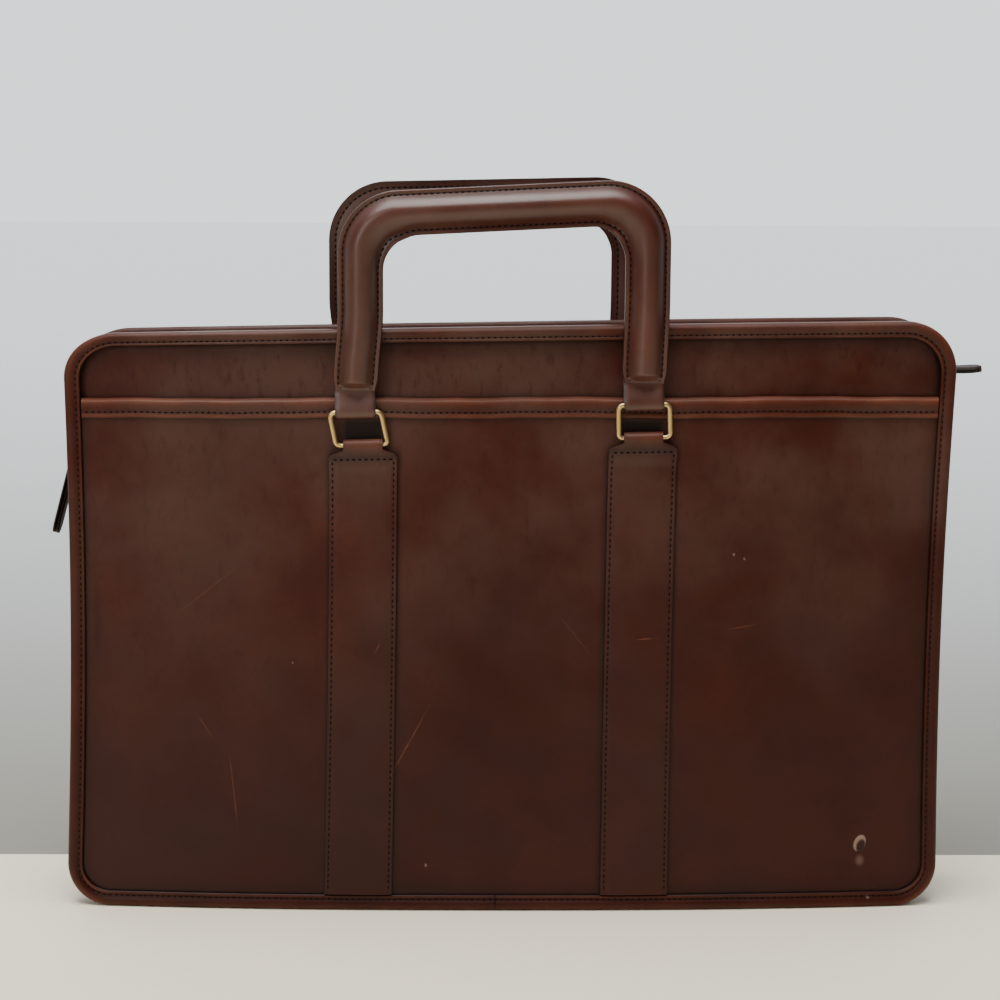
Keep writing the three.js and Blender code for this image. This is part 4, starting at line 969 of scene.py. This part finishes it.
def build_teeth(at, inner):
    """The teeth: small bevelled blocks along the zip, set by turns to its left and right."""
    sink = settings()[0].top_sink
    line = web_point(at, inner - 0.15 * MM, web_share(at, 0.0), -sink)[:, 0]
    normal = np.hstack([at.nx, at.nx * 0, at.nz])
    along = lengths_along(line)
    count = int(along[-1] / TOOTH_PITCH)
    places = (np.arange(count) + 0.5) * along[-1] / count
    middle, out = sampled(line, along, places), unit(sampled(normal, along, places))
    forward = np.stack([out[:, 2], out[:, 1], -out[:, 0]], -1)
    across = facing(1.0, count)
    side = np.where(np.arange(count) % 2 == 0, 1, -1)[:, None]
    grow = np.array([(0.55, 0.75), (1, 1), (1, 1), (0.5, 0.6)])
    level = np.array([-0.75, -0.35, 0.5, 0.8]) * MM
    corner = np.array([(-1, -1), (1, -1), (1, 1), (-1, 1)])
    rows = (
        (middle + across * side * 0.65 * MM)[:, None, None]
        + out[:, None, None] * level[None, :, None, None]
        + across[:, None, None] * (grow[:, :1] * corner[:, 0] * TOOTH_WIDE)[None, :, :, None]
        + forward[:, None, None] * (grow[:, 1:] * corner[:, 1] * TOOTH_LONG)[None, :, :, None]
    )
    new_piece("zip_brass_teeth", [repeated(rows)], "brass", "case", smooth=25,
              replaces=("zip_teeth",))


def banded(path, across, half, thick, columns=13):
    """Loops of a leather band along a path in a plane: flat sides and rounded edges."""
    out = np.cross(across, unit(np.gradient(path, axis=0)))
    a = np.linspace(-1, 1, columns)
    thin = np.minimum(1, np.sqrt(np.maximum(1 - np.abs(a) ** 10, 0)) + 0.25)
    middle = path[:, None] + across * (a * half[:, None])[..., None]
    rise = out[:, None] * (thick * thin)[None, :, None]
    top, low = middle + rise, middle - rise
    rim = np.tile(np.where(np.abs(a) > 0.9, 0.85, 0), (len(path), 1))
    return np.concatenate([top, low[:, ::-1]], 1), np.concatenate([rim, rim[:, ::-1]], 1)


def build_pull():
    """The pull: one strip folded over the slider's bar, both layers hanging close together."""
    carry = settings()[1]
    lo, hi = (np.array(v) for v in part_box("zip_slider"))
    radius = PULL_BAR + SEAM_GAP + PULL_LEATHER
    bar = np.array([hi[0] - PULL_BAR_IN, (lo[1] + hi[1]) / 2, (lo[2] + hi[2]) / 2])
    s = np.linspace(0, 1, 40)
    fall = lerp(1, 0.11, s)
    width = np.clip(np.sqrt(np.maximum(1 - np.maximum((fall - 0.9) / 0.1, 0) ** 2, 0.0)), 0.25, 1)
    widening = lerp(PULL_NECK / (carry.pull_width / 2), 1, smoothstep(fall, 0.12, 0.2))
    width = np.where(fall < 0.3, widening, width)
    close = PULL_LEATHER + SEAM_GAP / 2
    leg_x, leg_z = -np.full_like(fall, close), -fall * carry.pull_length
    leg_half = width * carry.pull_width / 2
    turn = np.linspace(0, np.pi, 17)
    x = np.concatenate([leg_x, -radius * np.cos(turn), -leg_x[::-1]])
    z = np.concatenate([leg_z, radius * np.sin(turn), leg_z[::-1]])
    half = np.concatenate([leg_half, np.full(17, PULL_NECK), leg_half[::-1]])
    turned_x = x * math.cos(carry.pull_lean) + z * math.sin(carry.pull_lean)
    turned_z = -x * math.sin(carry.pull_lean) + z * math.cos(carry.pull_lean)
    path = np.stack([bar[0] + turned_x, bar[1] + 0 * x, bar[2] + turned_z], -1)
    rows, rim = banded(path, np.array([0.0, 1.0, 0.0]), half, PULL_LEATHER)
    new_piece("zip_pull_leather", [skin(rows)], "black_leather", "case",
              {"dark": [rim]}, replaces=("zip_pull",))


def build_end_tab():
    """The stiff tab at the zip's right end: a band on a bent path, thinner to its tip."""
    body, carry, _ = settings()
    high = body.height - body.zip_right_drop

    def on_web(z):
        x, z, nx, nz = side_station(1, z)
        at = SimpleNamespace(x=np.array([[x]]), z=np.array([[z]]), nx=nx, nz=nz)
        sink = body.top_sink * (1 - web_share(at, carry.end_width / 2)[0, 0] ** 2)
        inset = body.binding + WEB_GAP + sink - END_LIE
        return settled(x - nx * inset, 0.0, z - nz * inset)

    start, bend = on_web(high + 9 * MM), on_web(high)
    reach = carry.end_reach - body.binding - WEB_GAP
    tip = settled(body.width / 2, 0.0, high) + np.array([reach, 0, 2.4 * MM])
    t = np.linspace(0, 1, 30)[:, None]
    path = (1 - t) ** 2 * start + 2 * t * (1 - t) * bend + t * t * tip
    nose = np.maximum((t[:, 0] - 0.86) / 0.14, 0)
    half = carry.end_width / 2 * np.sqrt(1 - 0.75 * nose**2)
    rows, rim = banded(path, np.array([0.0, 1.0, 0.0]), half, END_LEATHER)
    new_piece("zip_end_leather", [skin(rows)], "black_leather", "case",
              {"dark": [rim]}, replaces=("zip_end_tab",))


# The two handles in shares of a handle's width: the whole's shift, the right ring's rise, the bend
# of the left and right legs, the slope and lift of the top bar, the left foot's and ring's shift
HANDLES = {
    "front": {"centre": 0, "step": 0.17, "left": 0, "right": 0.05, "slope": 0.24, "lift": 0, "tab": -0.115,
              "skew": -0.125},
    "back": {"centre": -0.14, "step": 0.05, "left": -0.24, "right": 0.05, "slope": 0.12, "lift": 0.285,
             "tab": 0, "skew": 0},
}


def carry_line(name):
    """The line of a face's lower and upper ring bars: middle points, tilt and lean."""
    body, carry, _ = settings()
    face, wide = face_of(name), carry.handle_width
    handle = SimpleNamespace(sign=face.sign, **{key: part * wide for key, part in HANDLES[name].items()})
    span = carry.ring_height - carry.ring_wire
    loop_outer = carry.ring_wire / 2 + carry.ring_run + STRAP_LEATHER
    low_out, top_out = STRAP_GAP + loop_outer, EDGE_LEATHER + 2 * SEAM_GAP + loop_outer
    low, top, bars = [], [], []
    for side in (-1, 1):
        x = carry.centre + handle.centre + side * carry.spacing / 2
        height = body.height - body.pocket_drop - carry.ring_drop + (handle.step if side > 0 else 0)
        bars.append(SimpleNamespace(x=x, height=height))
        clear = relief(face, x, height)
        low.append(face_point(face, x, height, -low_out + clear))
        clear = relief(face, x, height + span)
        top.append(face_point(face, x, height + span, -top_out + clear))
    middle_low, middle_top = (low[0] + low[1]) / 2, (top[0] + top[1]) / 2
    return SimpleNamespace(
        face=face, handle=handle, bars=bars, low=middle_low, span=span, loop_outer=loop_outer,
        low_out=low_out,
        tilt=math.atan2(low[1][2] - low[0][2], low[1][0] - low[0][0]),
        lean=math.atan2(middle_top[1] - middle_low[1], middle_top[2] - middle_low[2]),
    )


def strap_rows(line, bar, cross):
    """Loops of a strap: its path lies on the face, rises to its ring, goes over the bar and back.
    cross holds the section: share across, and height over the strap's middle."""
    body, carry, _ = settings()
    flat = STRAP_GAP + STRAP_LEATHER / 2
    loop = carry.ring_wire / 2 + carry.ring_run + STRAP_LEATHER / 2
    front_out = line.low_out + loop
    neck_half = carry.neck_width / 2
    base, rise = body.binding + SEAM_GAP, bar.height - carry.strap_rise
    t = np.linspace(0, 1, STRAP_FLAT)
    up = np.linspace(0, 1, STRAP_RISE + 1)[1:]
    ease = smoothstep(up, 0, 1)
    turn = np.linspace(0, np.pi, STRAP_LOOP + 1)[1:]
    z = np.concatenate([lerp(base, rise, t), lerp(rise, bar.height, up), bar.height + loop * np.sin(turn),
                        [bar.height - carry.strap_tail]])
    over = line.low_out + loop * np.cos(turn)
    out = np.concatenate([np.full(STRAP_FLAT, flat), lerp(flat, front_out, ease), over, [flat]])
    narrow = smoothstep(up, 0.66, 0.9)
    strap_half = np.full(STRAP_FLAT, carry.strap_width / 2)
    neck = np.full(STRAP_LOOP + 1, neck_half)
    half = np.concatenate([strap_half, lerp(carry.strap_width / 2, neck_half, narrow), neck])
    onto = np.concatenate([np.zeros(STRAP_FLAT), ease, np.ones(STRAP_LOOP), [0]])
    dz, dout = np.gradient(z), np.gradient(out)
    size = np.hypot(dz, dout)
    nz, nout = -dout / size, dz / size
    share_across, lift = cross
    thinner = 1 - smoothstep(up, 0.3, 0.55)
    padding = np.concatenate([np.ones(STRAP_FLAT), thinner, np.zeros(STRAP_LOOP + 1)])
    height = lift[0][None, :] + (lift[1] - lift[0])[None, :] * padding[:, None]
    aside = share_across[None, :] * half[:, None]
    zz = z[:, None] + nz[:, None] * height
    oo = out[:, None] + nout[:, None] * height
    seat = settled(bar.x, 0.0, bar.height)[0]
    on_face = face_point(line.face, bar.x + aside, zz, -oo)
    x = seat + aside
    on_bar = np.stack([
        x, line.low[1] + line.face.sign * (oo - line.low_out),
        line.low[2] + (x - line.low[0]) * math.tan(line.tilt) + zz - bar.height,
    ], -1)
    return lerp(on_face, on_bar, onto[:, None, None]), z


def strap_groove():
    """Where a strap's stitches run, as a share of its half width."""
    return 1 - STRAP_MARGIN / (settings()[1].strap_width / 2)


def strap_section():
    """A strap's section: rounded painted edges, a sewn groove and a slightly filled middle."""
    thick = STRAP_LEATHER / 2
    groove = strap_groove()
    top = np.array([
        (-1, 0, 0.9), (-0.992, 0.7, 0.6), (-0.97, 1, 0.1), (-groove - 0.035, 1.0, 0), (-groove, 0.82, 0.1),
        (-groove + 0.035, 1.1, 0.2), (-0.8, 1.32, 0), (-0.6, 1.5, 0), (-0.3, 1.6, 0), (0, 1.62, 0),
    ])
    mirror = top[-2::-1] * np.array([-1, 1, 1])
    top = np.vstack([top, mirror])
    under = top[::-1][1:-1] * np.array([1, 0, 0]) + np.array([0, -1, 0.3])
    under = np.vstack([under, [[-1, -0.4, 0.9]]])
    whole = np.vstack([top, under])
    plain = np.where(whole[:, 1] > 1, 1, whole[:, 1])
    return whole[:, 0], (plain * thick, whole[:, 1] * thick), whole[:, 2]


def build_straps():
    """The four straps, with their rows of stitches."""
    carry = settings()[1]
    for name in ("front", "back"):
        line = carry_line(name)
        for side, bar in zip(("left", "right"), line.bars):
            across, lift, paint = strap_section()
            rows, z = strap_rows(line, bar, (across, lift))
            shade = np.tile(paint, (len(rows), 1))
            seam = bar.height - carry.strap_rise * 0.36
            band = np.exp(-(((z - seam) / (2.2 * MM)) ** 2))[:, None]
            shade = np.maximum(shade, 0.55 * band)
            near_bar = smoothstep(z[:, None], bar.height - 3 * MM, bar.height + 2 * MM)
            worn = 0.35 * near_bar * (lift[1] > 0)[None, :]
            new_piece(f"{name}_{side}_strap", [skin(rows)], "strap_leather", "case",
                      {"dark": [shade], "rub": [worn + 0 * shade]}, replaces=(f"{name}_strap_{side}",))
            shells = []
            groove, thick = strap_groove(), STRAP_LEATHER / 2
            for edge in (-groove, groove):
                line_rows, _ = strap_rows(line, bar, (np.array([edge]), (np.array([thick * 0.8]),) * 2))
                path = line_rows[1:STRAP_SEAM, 0]
                shells.append(stitch_shell(path, facing(line.face.sign, len(path))))
            spread = np.linspace(-groove, groove, 24)
            cross_rows, _ = strap_rows(line, bar, (spread, (np.full(24, thick * 1.05),) * 2))
            path = cross_rows[STRAP_SEAM]
            shells.append(stitch_shell(path, facing(line.face.sign, len(path))))
            sewn(f"{name}_{side}_strap_stitches", shells)


def ring_turn(line):
    """The rotation of a pair of rings: leaned back on the face, then tilted along its line."""
    return np.array(Matrix.Rotation(-line.tilt, 3, "Y") @ Matrix.Rotation(-line.lean, 3, "X"))


def hang_point(line):
    """Where a handle's own plane starts: the middle of the rings' upper bars, brought in by a loop."""
    upper = line.low + ring_turn(line) @ np.array([0, 0, line.span])
    return upper + np.array([0, -line.handle.sign * line.loop_outer, 0])


def build_rings():
    """The four rings: round wire carried round a rectangle with bent corners."""
    carry = settings()[1]
    half = (carry.ring_width - carry.ring_wire) / 2
    wire = carry.ring_wire / 2
    for name in ("front", "back"):
        line = carry_line(name)
        turn = ring_turn(line)
        for side in (-1, 1):
            corners = np.array([(half, 0), (half, line.span), (-half, line.span), (-half, 0)])
            path = []
            for i, corner in enumerate(corners):
                last, following = corners[i - 1], corners[(i + 1) % 4]
                start = corner + unit(last - corner) * carry.ring_corner
                end = corner + unit(following - corner) * carry.ring_corner
                t = np.linspace(0, 1, 9)[:, None]
                path.append((1 - t) ** 2 * start + 2 * t * (1 - t) * corner + t * t * end)
                straight_end = following + unit(corner - following) * carry.ring_corner
                path.append(lerp(end, straight_end, np.linspace(0, 1, 6)[1:-1, None]))
            path = np.vstack(path)
            skew = line.handle.skew if side < 0 else 0
            path[:, 0] += skew * path[:, 1] / line.span
            ahead = unit(np.roll(path, -1, 0) - np.roll(path, 1, 0))
            angle = np.arange(16) / 16 * 2 * np.pi
            flat_x = path[:, :1] + ahead[:, 1:] * wire * np.cos(angle)
            flat_z = path[:, 1:] - ahead[:, :1] * wire * np.cos(angle)
            flat_y = np.tile(wire * np.sin(angle), (len(path), 1))
            shift = side * carry.spacing / 2 / math.cos(line.tilt)
            points = np.stack([flat_x + shift, flat_y, flat_z], -1) @ turn.T + line.low
            label = "left" if side < 0 else "right"
            new_piece(f"{name}_{label}_brass_ring", [skin(points, ring=True)], "brass", f"{name}_rings",
                      replaces=(f"{name}_ring_{label}",))


def handle_path(line):
    """A handle's middle line in its plane: leg, corner arc, top bar, corner arc, leg. The columns are
    x, z, the share of the leg that is done, and how much fuller its inner side is at the corners."""
    carry = settings()[1]
    handle, foot = line.handle, carry.spacing / 2
    shoulder = carry.handle_rise + handle.lift - carry.handle_corner
    left, right = -foot + handle.left, foot + handle.right
    slope = handle.slope / (right - left)
    s = np.concatenate([np.linspace(0, FOOT_SHARE, 14), np.linspace(FOOT_SHARE, 1, 34)[1:-1]])

    def leg(side):
        end, start = (left, -foot + handle.tab) if side < 0 else (right, foot)
        high = shoulder + (handle.slope if side > 0 else 0)
        low = carry.tab_length + side * foot * math.tan(line.tilt)
        return np.stack([lerp(start, end, smoothstep(s, 0.02, 0.6)), lerp(low, high, s), s], -1)

    def arc(cx, cz, start, end):
        angle = np.linspace(start, end, 26)
        r = carry.handle_corner
        return np.stack([cx + r * np.cos(angle), cz + r * np.sin(angle), np.ones(26)], -1)

    first = arc(left + carry.handle_corner, shoulder, np.pi, np.pi / 2 + slope)
    last = arc(right - carry.handle_corner, shoulder + handle.slope, np.pi / 2 + slope, 0)
    t = np.linspace(0, 1, 40)[1:-1, None]
    bar = lerp(first[-1], last[0], t)
    path = np.vstack([leg(-1), first, bar, last, leg(1)[::-1]])
    along = lengths_along(path[:, :2])
    corners = along[[len(s) + 13, len(path) - len(s) - 13]]
    away = np.abs(along[:, None] - corners).min(1)
    return np.hstack([path, corner_fill(away)[:, None]])


def corner_fill(away):
    """How far the inner edge stands in from the even width, at a distance from a corner's middle: the
    rounder arc of radius r meets the rays of the even arc, and runs out along the straights."""
    carry = settings()[1]
    even, rounder = carry.handle_corner - carry.handle_width / 2, carry.corner_inner
    grow, bend = rounder - even, carry.handle_corner * np.pi / 4
    angle = np.minimum(away, bend) / carry.handle_corner
    reach = np.sqrt(rounder**2 - 2 * (grow * np.sin(angle)) ** 2) - math.sqrt(2) * grow * np.cos(angle)
    beyond = np.clip(grow - (away - bend), 0, grow)
    return np.where(away < bend, even - reach, rounder - np.sqrt(rounder**2 - beyond**2))


def swept(line, path, across, out):
    """A section carried along the handle's middle line: across in its plane, out square to it."""
    step = np.gradient(path[:, :2], axis=0)
    step[0], step[-1] = (0, 1), (0, -1)
    step = unit(step)
    across = across * np.where(across > 0, 1 + path[:, 3:] / (settings()[1].handle_width / 2), 1)
    x = path[:, :1] + across * step[:, 1:]
    z = path[:, 1:2] - across * step[:, :1]
    return np.stack([x, line.handle.sign * out + 0 * x, z], -1) + hang_point(line)


def handle_widths(path):
    """The share of a handle's full width at each station: it narrows to its tab at the feet."""
    carry = settings()[1]
    wide = smoothstep(path[:, 2:3], 0.0, FOOT_SHARE)
    return lerp(carry.tab_width, carry.handle_width, wide) / carry.handle_width


def handle_section(path):
    """The padded face: flat sewn margins and a ridge of 1 - a^2.3 that sinks at the feet."""
    carry = settings()[1]
    floor = carry.handle_backing + SEAM_GAP
    half = carry.handle_width / 2
    ridge_half = carry.ridge_width / 2
    swell = smoothstep(path[:, 2:3], 0.012, 0.07)
    width = handle_widths(path)
    a = np.linspace(1, 0, 13)
    ridge = 1 - a**2.3
    margin = np.array([
        (half, -0.9, 0.9, 0), (half - 0.12 * MM, -0.35, 0.6, 0), (half - 0.45 * MM, 0.0, 0.1, 0.4),
        (ridge_half + 1.2 * MM, 0.05, 0, 0.2), (ridge_half + 0.75 * MM, -0.12, 0.15, 0),
        (ridge_half + HANDLE_GROOVE, -0.3, 0.3, 0),
    ])
    across = np.concatenate([[half], margin[:, 0], a * ridge_half])
    rise = np.concatenate([[0], margin[:, 1] * MM, ridge * 0])
    pad = np.concatenate([[0] * 7, ridge])
    dark = np.concatenate([[0.9], margin[:, 2], np.where(a > 0.97, 0.25, 0)])
    rub = np.concatenate([[0], margin[:, 3], 0.2 * ridge**3])
    across = np.concatenate([across, -across[-2::-1], [0.0]])
    mirrored = [np.concatenate([v, v[-2::-1], [0.0]]) for v in (rise, pad, dark, rub)]
    rise, pad, dark, rub = mirrored
    base = np.full(len(across), carry.handle_edge)
    base[0] = base[len(across) - 2] = base[-1] = floor
    out = base + rise + pad * (carry.handle_thick - carry.handle_edge) * swell
    spread = np.where(np.abs(across) > ridge_half, width, 1)
    return across * spread, out, np.tile(dark, (len(path), 1)), np.tile(rub, (len(path), 1))


def tab_rows(line, shift):
    """Loops of a handle's wrapped end: down the face of the ring's bar, under it and up behind."""
    carry = settings()[1]
    radius = carry.ring_wire / 2 + carry.ring_run + STRAP_LEATHER / 2
    behind = carry.handle_backing + SEAM_GAP + STRAP_LEATHER / 2
    front = line.loop_outer + radius
    s = np.linspace(0, 1, 16)
    z = lerp(carry.tab_length * 1.3, 0, s)
    out = lerp(behind + 0.2 * MM, front, smoothstep(s, 0.2, 0.97))
    turn = -np.linspace(0, np.pi, 19)[1:]
    z = np.concatenate([z, radius * np.sin(turn), [carry.tab_rear]])
    out = np.concatenate([out, line.loop_outer + radius * np.cos(turn), [STRAP_LEATHER / 2]])
    path = np.stack([0 * z, line.handle.sign * out, z], -1)
    rows, rim = banded(path, np.array([1.0, 0, 0]), np.full(len(z), carry.tab_width / 2), STRAP_LEATHER / 2)
    turned = rows @ np.array(Matrix.Rotation(-line.tilt, 3, "Y")).T
    return turned + np.array([shift, 0, shift * math.tan(line.tilt)]) + hang_point(line), rim


def build_handles():
    """The two handles: padded faces with wrapped ends, flat backings, and their stitches."""
    carry = settings()[1]
    for name in ("front", "back"):
        line = carry_line(name)
        path = handle_path(line)
        across, out, dark, rub = handle_section(path)
        shells = [skin(swept(line, path, across, out))]
        darks, rubs = [dark], [rub]
        for shift in (-carry.spacing / 2 + line.handle.tab, carry.spacing / 2):
            rows, rim = tab_rows(line, shift)
            shells.append(skin(rows))
            darks.append(rim)
            rubs.append(rim * 0 + 0.15)
        body = f"{name}_handle"
        padded = new_piece(f"{name}_padded_handle", shells, "handle_leather", body,
                           {"dark": darks, "rub": rubs}, replaces=(f"{name}_handle_face",))
        half, thick = carry.handle_width / 2, carry.handle_backing
        width = handle_widths(path)
        section = np.array([
            (half, 0.3, 0.9), (half - 0.2 * MM, 0.05, 0.5), (half - 2.4 * MM, 0.0, 0),
            (half - BACKING_GROOVE, 0.22, 0.5), (half - 4 * MM, 0.0, 0), (0, 0.0, 0),
        ])
        section = np.vstack([section, section[-2::-1] * np.array([-1, 1, 1])])
        under = section[::-1] * np.array([1, 0, 1]) + np.array([0, thick / MM, 0])
        whole = np.vstack([section, under])
        rows = swept(line, path, whole[None, :, 0] * width, np.tile(whole[:, 1] * MM, (len(path), 1)))
        new_piece(f"{name}_handle_lining", [skin(rows)], "handle_leather", body,
                  {"dark": [np.tile(whole[:, 2], (len(path), 1))]}, replaces=(f"{name}_handle_backing",))
        build_handle_stitches(name, line, path)


def build_handle_stitches(name, line, path):
    """Stitches on both sides of a handle: along both grooves and across each foot."""
    carry = settings()[1]
    groove = carry.ridge_width / 2 + HANDLE_GROOVE
    sign = line.handle.sign
    shells = []
    for side in (-1, 1):
        for out, outward in ((carry.handle_edge - 0.3 * MM, sign), (0.1 * MM, -sign)):
            across = groove if out > MM else carry.handle_width / 2 - BACKING_GROOVE
            column = np.ones((len(path), 1))
            row = swept(line, path, side * across * column, out * column)[4:-4, 0]
            shells.append(stitch_shell(row, facing(outward, len(row))))
    spread = np.linspace(-groove, groove, 12)[None, :]
    surface = np.full((len(path), 12), carry.handle_edge - 0.1 * MM)
    whole = swept(line, path, np.repeat(spread, len(path), 0), surface)
    for end in (3, len(path) - 4):
        shells.append(stitch_shell(whole[end], facing(sign, 12)))
    sewn(f"{name}_handle_stitches", shells, f"{name}_handle")


# The camera: distance along the floor and height in metres, its turn round the case, where it
# looks, its roll and its lens, from the photograph's own perspective
CAMERA_REACH = 1.0196
CAMERA_HEIGHT = 0.334
CAMERA_AROUND_DEG = -1.045
CAMERA_LOOK_DEG = 0.935
CAMERA_DOWN_DEG = 7.846
CAMERA_ROLL_DEG = 0.332
CAMERA_LENS = 76.66
# Where the floor's tone changes behind the case, how it glows far off, and half its side
BACKDROP_LINE = 0.052
FAR_GLOW = 1.75
FLOOR_HALF = 40.0
# The sky's strength before the case and behind it
SKY_BEFORE, SKY_BEHIND = 0.12, 2.3
# The soft lights: place, aim, size, power and tint
LIGHTS = {
    "overhead": ((-0.15, -0.3, 1.6), (0, 0, 0.1), 1.2, 44, (1, 0.985, 0.96)),
    "front_soft": ((-1.3, -2.0, 1.0), (0, 0, 0.15), 0.9, 17, (1, 0.98, 0.95)),
}


def area_light(name, place, aim, size, power, tint):
    """A square soft light aimed at a point."""
    light = bpy.data.lights.new(name, "AREA")
    light.energy, light.size, light.color = power, size, tint
    lamp = bpy.data.objects.new(name, light)
    bpy.context.scene.collection.objects.link(lamp)
    lamp.location = place
    lamp.rotation_euler = (Vector(aim) - Vector(place)).to_track_quat("-Z", "Y").to_euler()


def build_stage():
    """The floor, the soft lights and the camera."""
    look = settings()[2]
    scene = bpy.context.scene
    mesh = bpy.data.meshes.new("floor")
    corners = [(x * FLOOR_HALF, y * FLOOR_HALF, 0) for x, y in ((-1, -1), (1, -1), (1, 1), (-1, 1))]
    mesh.from_pydata(corners, [], [(0, 1, 2, 3)])
    floor = bpy.data.objects.new("floor", mesh)
    scene.collection.objects.link(floor)
    material, tree, shader, place = new_material("floor")
    # Behind the line the floor is painted as a backdrop: grey near the line, then a dark base that glows
    # more with distance, a painted light standing in for a lit wall.
    depth = add_node(tree, "ShaderNodeSeparateXYZ", Vector=place).outputs[1]
    nearness = sums(tree, "DIVIDE", CAMERA_REACH + BACKDROP_LINE, plus(tree, depth, CAMERA_REACH))
    step = ranged(tree, depth, BACKDROP_LINE, BACKDROP_LINE + 1.5 * MM)
    far = times(tree, step, ranged(tree, nearness, 1.0, 0.1, 0.0, 1.0))
    backdrop = blend_colours(tree, far, (*look.wall_low, 1), (*FAR_FLOOR, 1))
    tree.links.new(blend_colours(tree, step, (*look.floor, 1), backdrop), shader.inputs["Base Color"])
    shader.inputs["Roughness"].default_value = 0.7
    shader.inputs["Emission Color"].default_value = (*look.wall_high, 1)
    tree.links.new(times(tree, far, FAR_GLOW), shader.inputs["Emission Strength"])
    mesh.materials.append(material)

    world = bpy.data.worlds.new("studio")
    scene.world = world
    world.use_nodes = True
    sky = world.node_tree
    background = sky.nodes["Background"]
    background.inputs["Color"].default_value = (*look.wall_high, 1)
    toward = add_node(sky, "ShaderNodeTexCoord").outputs["Generated"]
    behind = add_node(sky, "ShaderNodeSeparateXYZ", Vector=toward).outputs[1]
    sky.links.new(ranged(sky, behind, 0.0, 0.9, SKY_BEFORE, SKY_BEHIND), background.inputs["Strength"])
    for name, values in LIGHTS.items():
        area_light(name, *values)

    around, turn = math.radians(CAMERA_AROUND_DEG), math.radians(CAMERA_LOOK_DEG)
    down, roll = math.radians(CAMERA_DOWN_DEG), math.radians(CAMERA_ROLL_DEG)
    ahead = Vector((math.sin(turn) * math.cos(down), math.cos(turn) * math.cos(down), -math.sin(down)))
    level = Vector((math.cos(turn), -math.sin(turn), 0))
    up = level.cross(ahead)
    right = math.cos(roll) * level + math.sin(roll) * up
    tilted_up = -math.sin(roll) * level + math.cos(roll) * up
    camera = bpy.data.cameras.new("camera")
    camera.lens = CAMERA_LENS
    holder = bpy.data.objects.new("camera", camera)
    scene.collection.objects.link(holder)
    turned = Matrix((right, tilted_up, -ahead)).transposed().to_4x4()
    spot_x = CAMERA_REACH * math.sin(around) + ORIGIN_X
    spot_y = -CAMERA_REACH * math.cos(around) + ORIGIN_Y
    holder.matrix_world = Matrix.Translation((spot_x, spot_y, CAMERA_HEIGHT)) @ turned
    scene.camera = holder


class CASE_OT_stage(bpy.types.Operator):
    """Adds the floor, the lights and the camera"""

    bl_idname = "document_case.stage"
    bl_label = "Stage"

    def execute(self, context):
        build_stage()
        return {"FINISHED"}


class CASE_OT_faces(bpy.types.Operator):
    """Adds the front and back leather and the pocket"""

    bl_idname = "document_case.faces"
    bl_label = "Faces and pocket"

    def execute(self, context):
        build_faces()
        return {"FINISHED"}


class CASE_OT_bindings(bpy.types.Operator):
    """Adds the bindings round both faces"""

    bl_idname = "document_case.bindings"
    bl_label = "Bindings"

    def execute(self, context):
        build_bindings()
        return {"FINISHED"}


class CASE_OT_gusset(bpy.types.Operator):
    """Adds the gusset round the sides and base"""

    bl_idname = "document_case.gusset"
    bl_label = "Gusset"

    def execute(self, context):
        build_gusset()
        return {"FINISHED"}


class CASE_OT_zip(bpy.types.Operator):
    """Adds the zip with its leather, pull and end tab"""

    bl_idname = "document_case.zip"
    bl_label = "Zip"

    def execute(self, context):
        build_zip()
        return {"FINISHED"}


class CASE_OT_straps(bpy.types.Operator):
    """Adds the four straps"""

    bl_idname = "document_case.straps"
    bl_label = "Straps"

    def execute(self, context):
        build_straps()
        return {"FINISHED"}


class CASE_OT_rings(bpy.types.Operator):
    """Adds the four brass rings"""

    bl_idname = "document_case.rings"
    bl_label = "Rings"

    def execute(self, context):
        build_rings()
        return {"FINISHED"}


class CASE_OT_handles(bpy.types.Operator):
    """Adds the two padded handles"""

    bl_idname = "document_case.handles"
    bl_label = "Handles"

    def execute(self, context):
        build_handles()
        return {"FINISHED"}


class CASE_PT_panel(bpy.types.Panel):
    """Lists the steps, sizes and colours"""

    bl_idname = "CASE_PT_panel"
    bl_label = "Document case"
    bl_space_type = "VIEW_3D"
    bl_region_type = "UI"
    bl_category = "Document case"

    def draw(self, context):
        for operator in OPERATORS:
            self.layout.operator(operator.bl_idname)
        for group in (context.scene.case_body, context.scene.case_carry, context.scene.case_finish):
            box = self.layout.box()
            for key in group.__annotations__:
                box.prop(group, key)


OPERATORS = (
    CASE_OT_stage, CASE_OT_faces, CASE_OT_bindings, CASE_OT_gusset, CASE_OT_zip, CASE_OT_straps,
    CASE_OT_rings, CASE_OT_handles,
)
GROUPS = {"case_body": CaseBody, "case_carry": CaseCarry, "case_finish": CaseFinish}


def register():
    """Registers the groups, operators and panel."""
    for name, group in GROUPS.items():
        bpy.utils.register_class(group)
        setattr(bpy.types.Scene, name, bpy.props.PointerProperty(type=group))
    for item in (*OPERATORS, CASE_PT_panel):
        bpy.utils.register_class(item)


def unregister():
    """Takes away what register added."""
    for item in (CASE_PT_panel, *OPERATORS[::-1]):
        bpy.utils.unregister_class(item)
    for name, group in GROUPS.items():
        delattr(bpy.types.Scene, name)
        bpy.utils.unregister_class(group)


def main():
    """Registers the steps and builds every piece in order."""
    register()
    bpy.ops.document_case.stage()
    bpy.ops.document_case.faces()
    bpy.ops.document_case.bindings()
    bpy.ops.document_case.gusset()
    bpy.ops.document_case.zip()
    bpy.ops.document_case.straps()
    bpy.ops.document_case.rings()
    bpy.ops.document_case.handles()


if __name__ == "__main__":
    main()
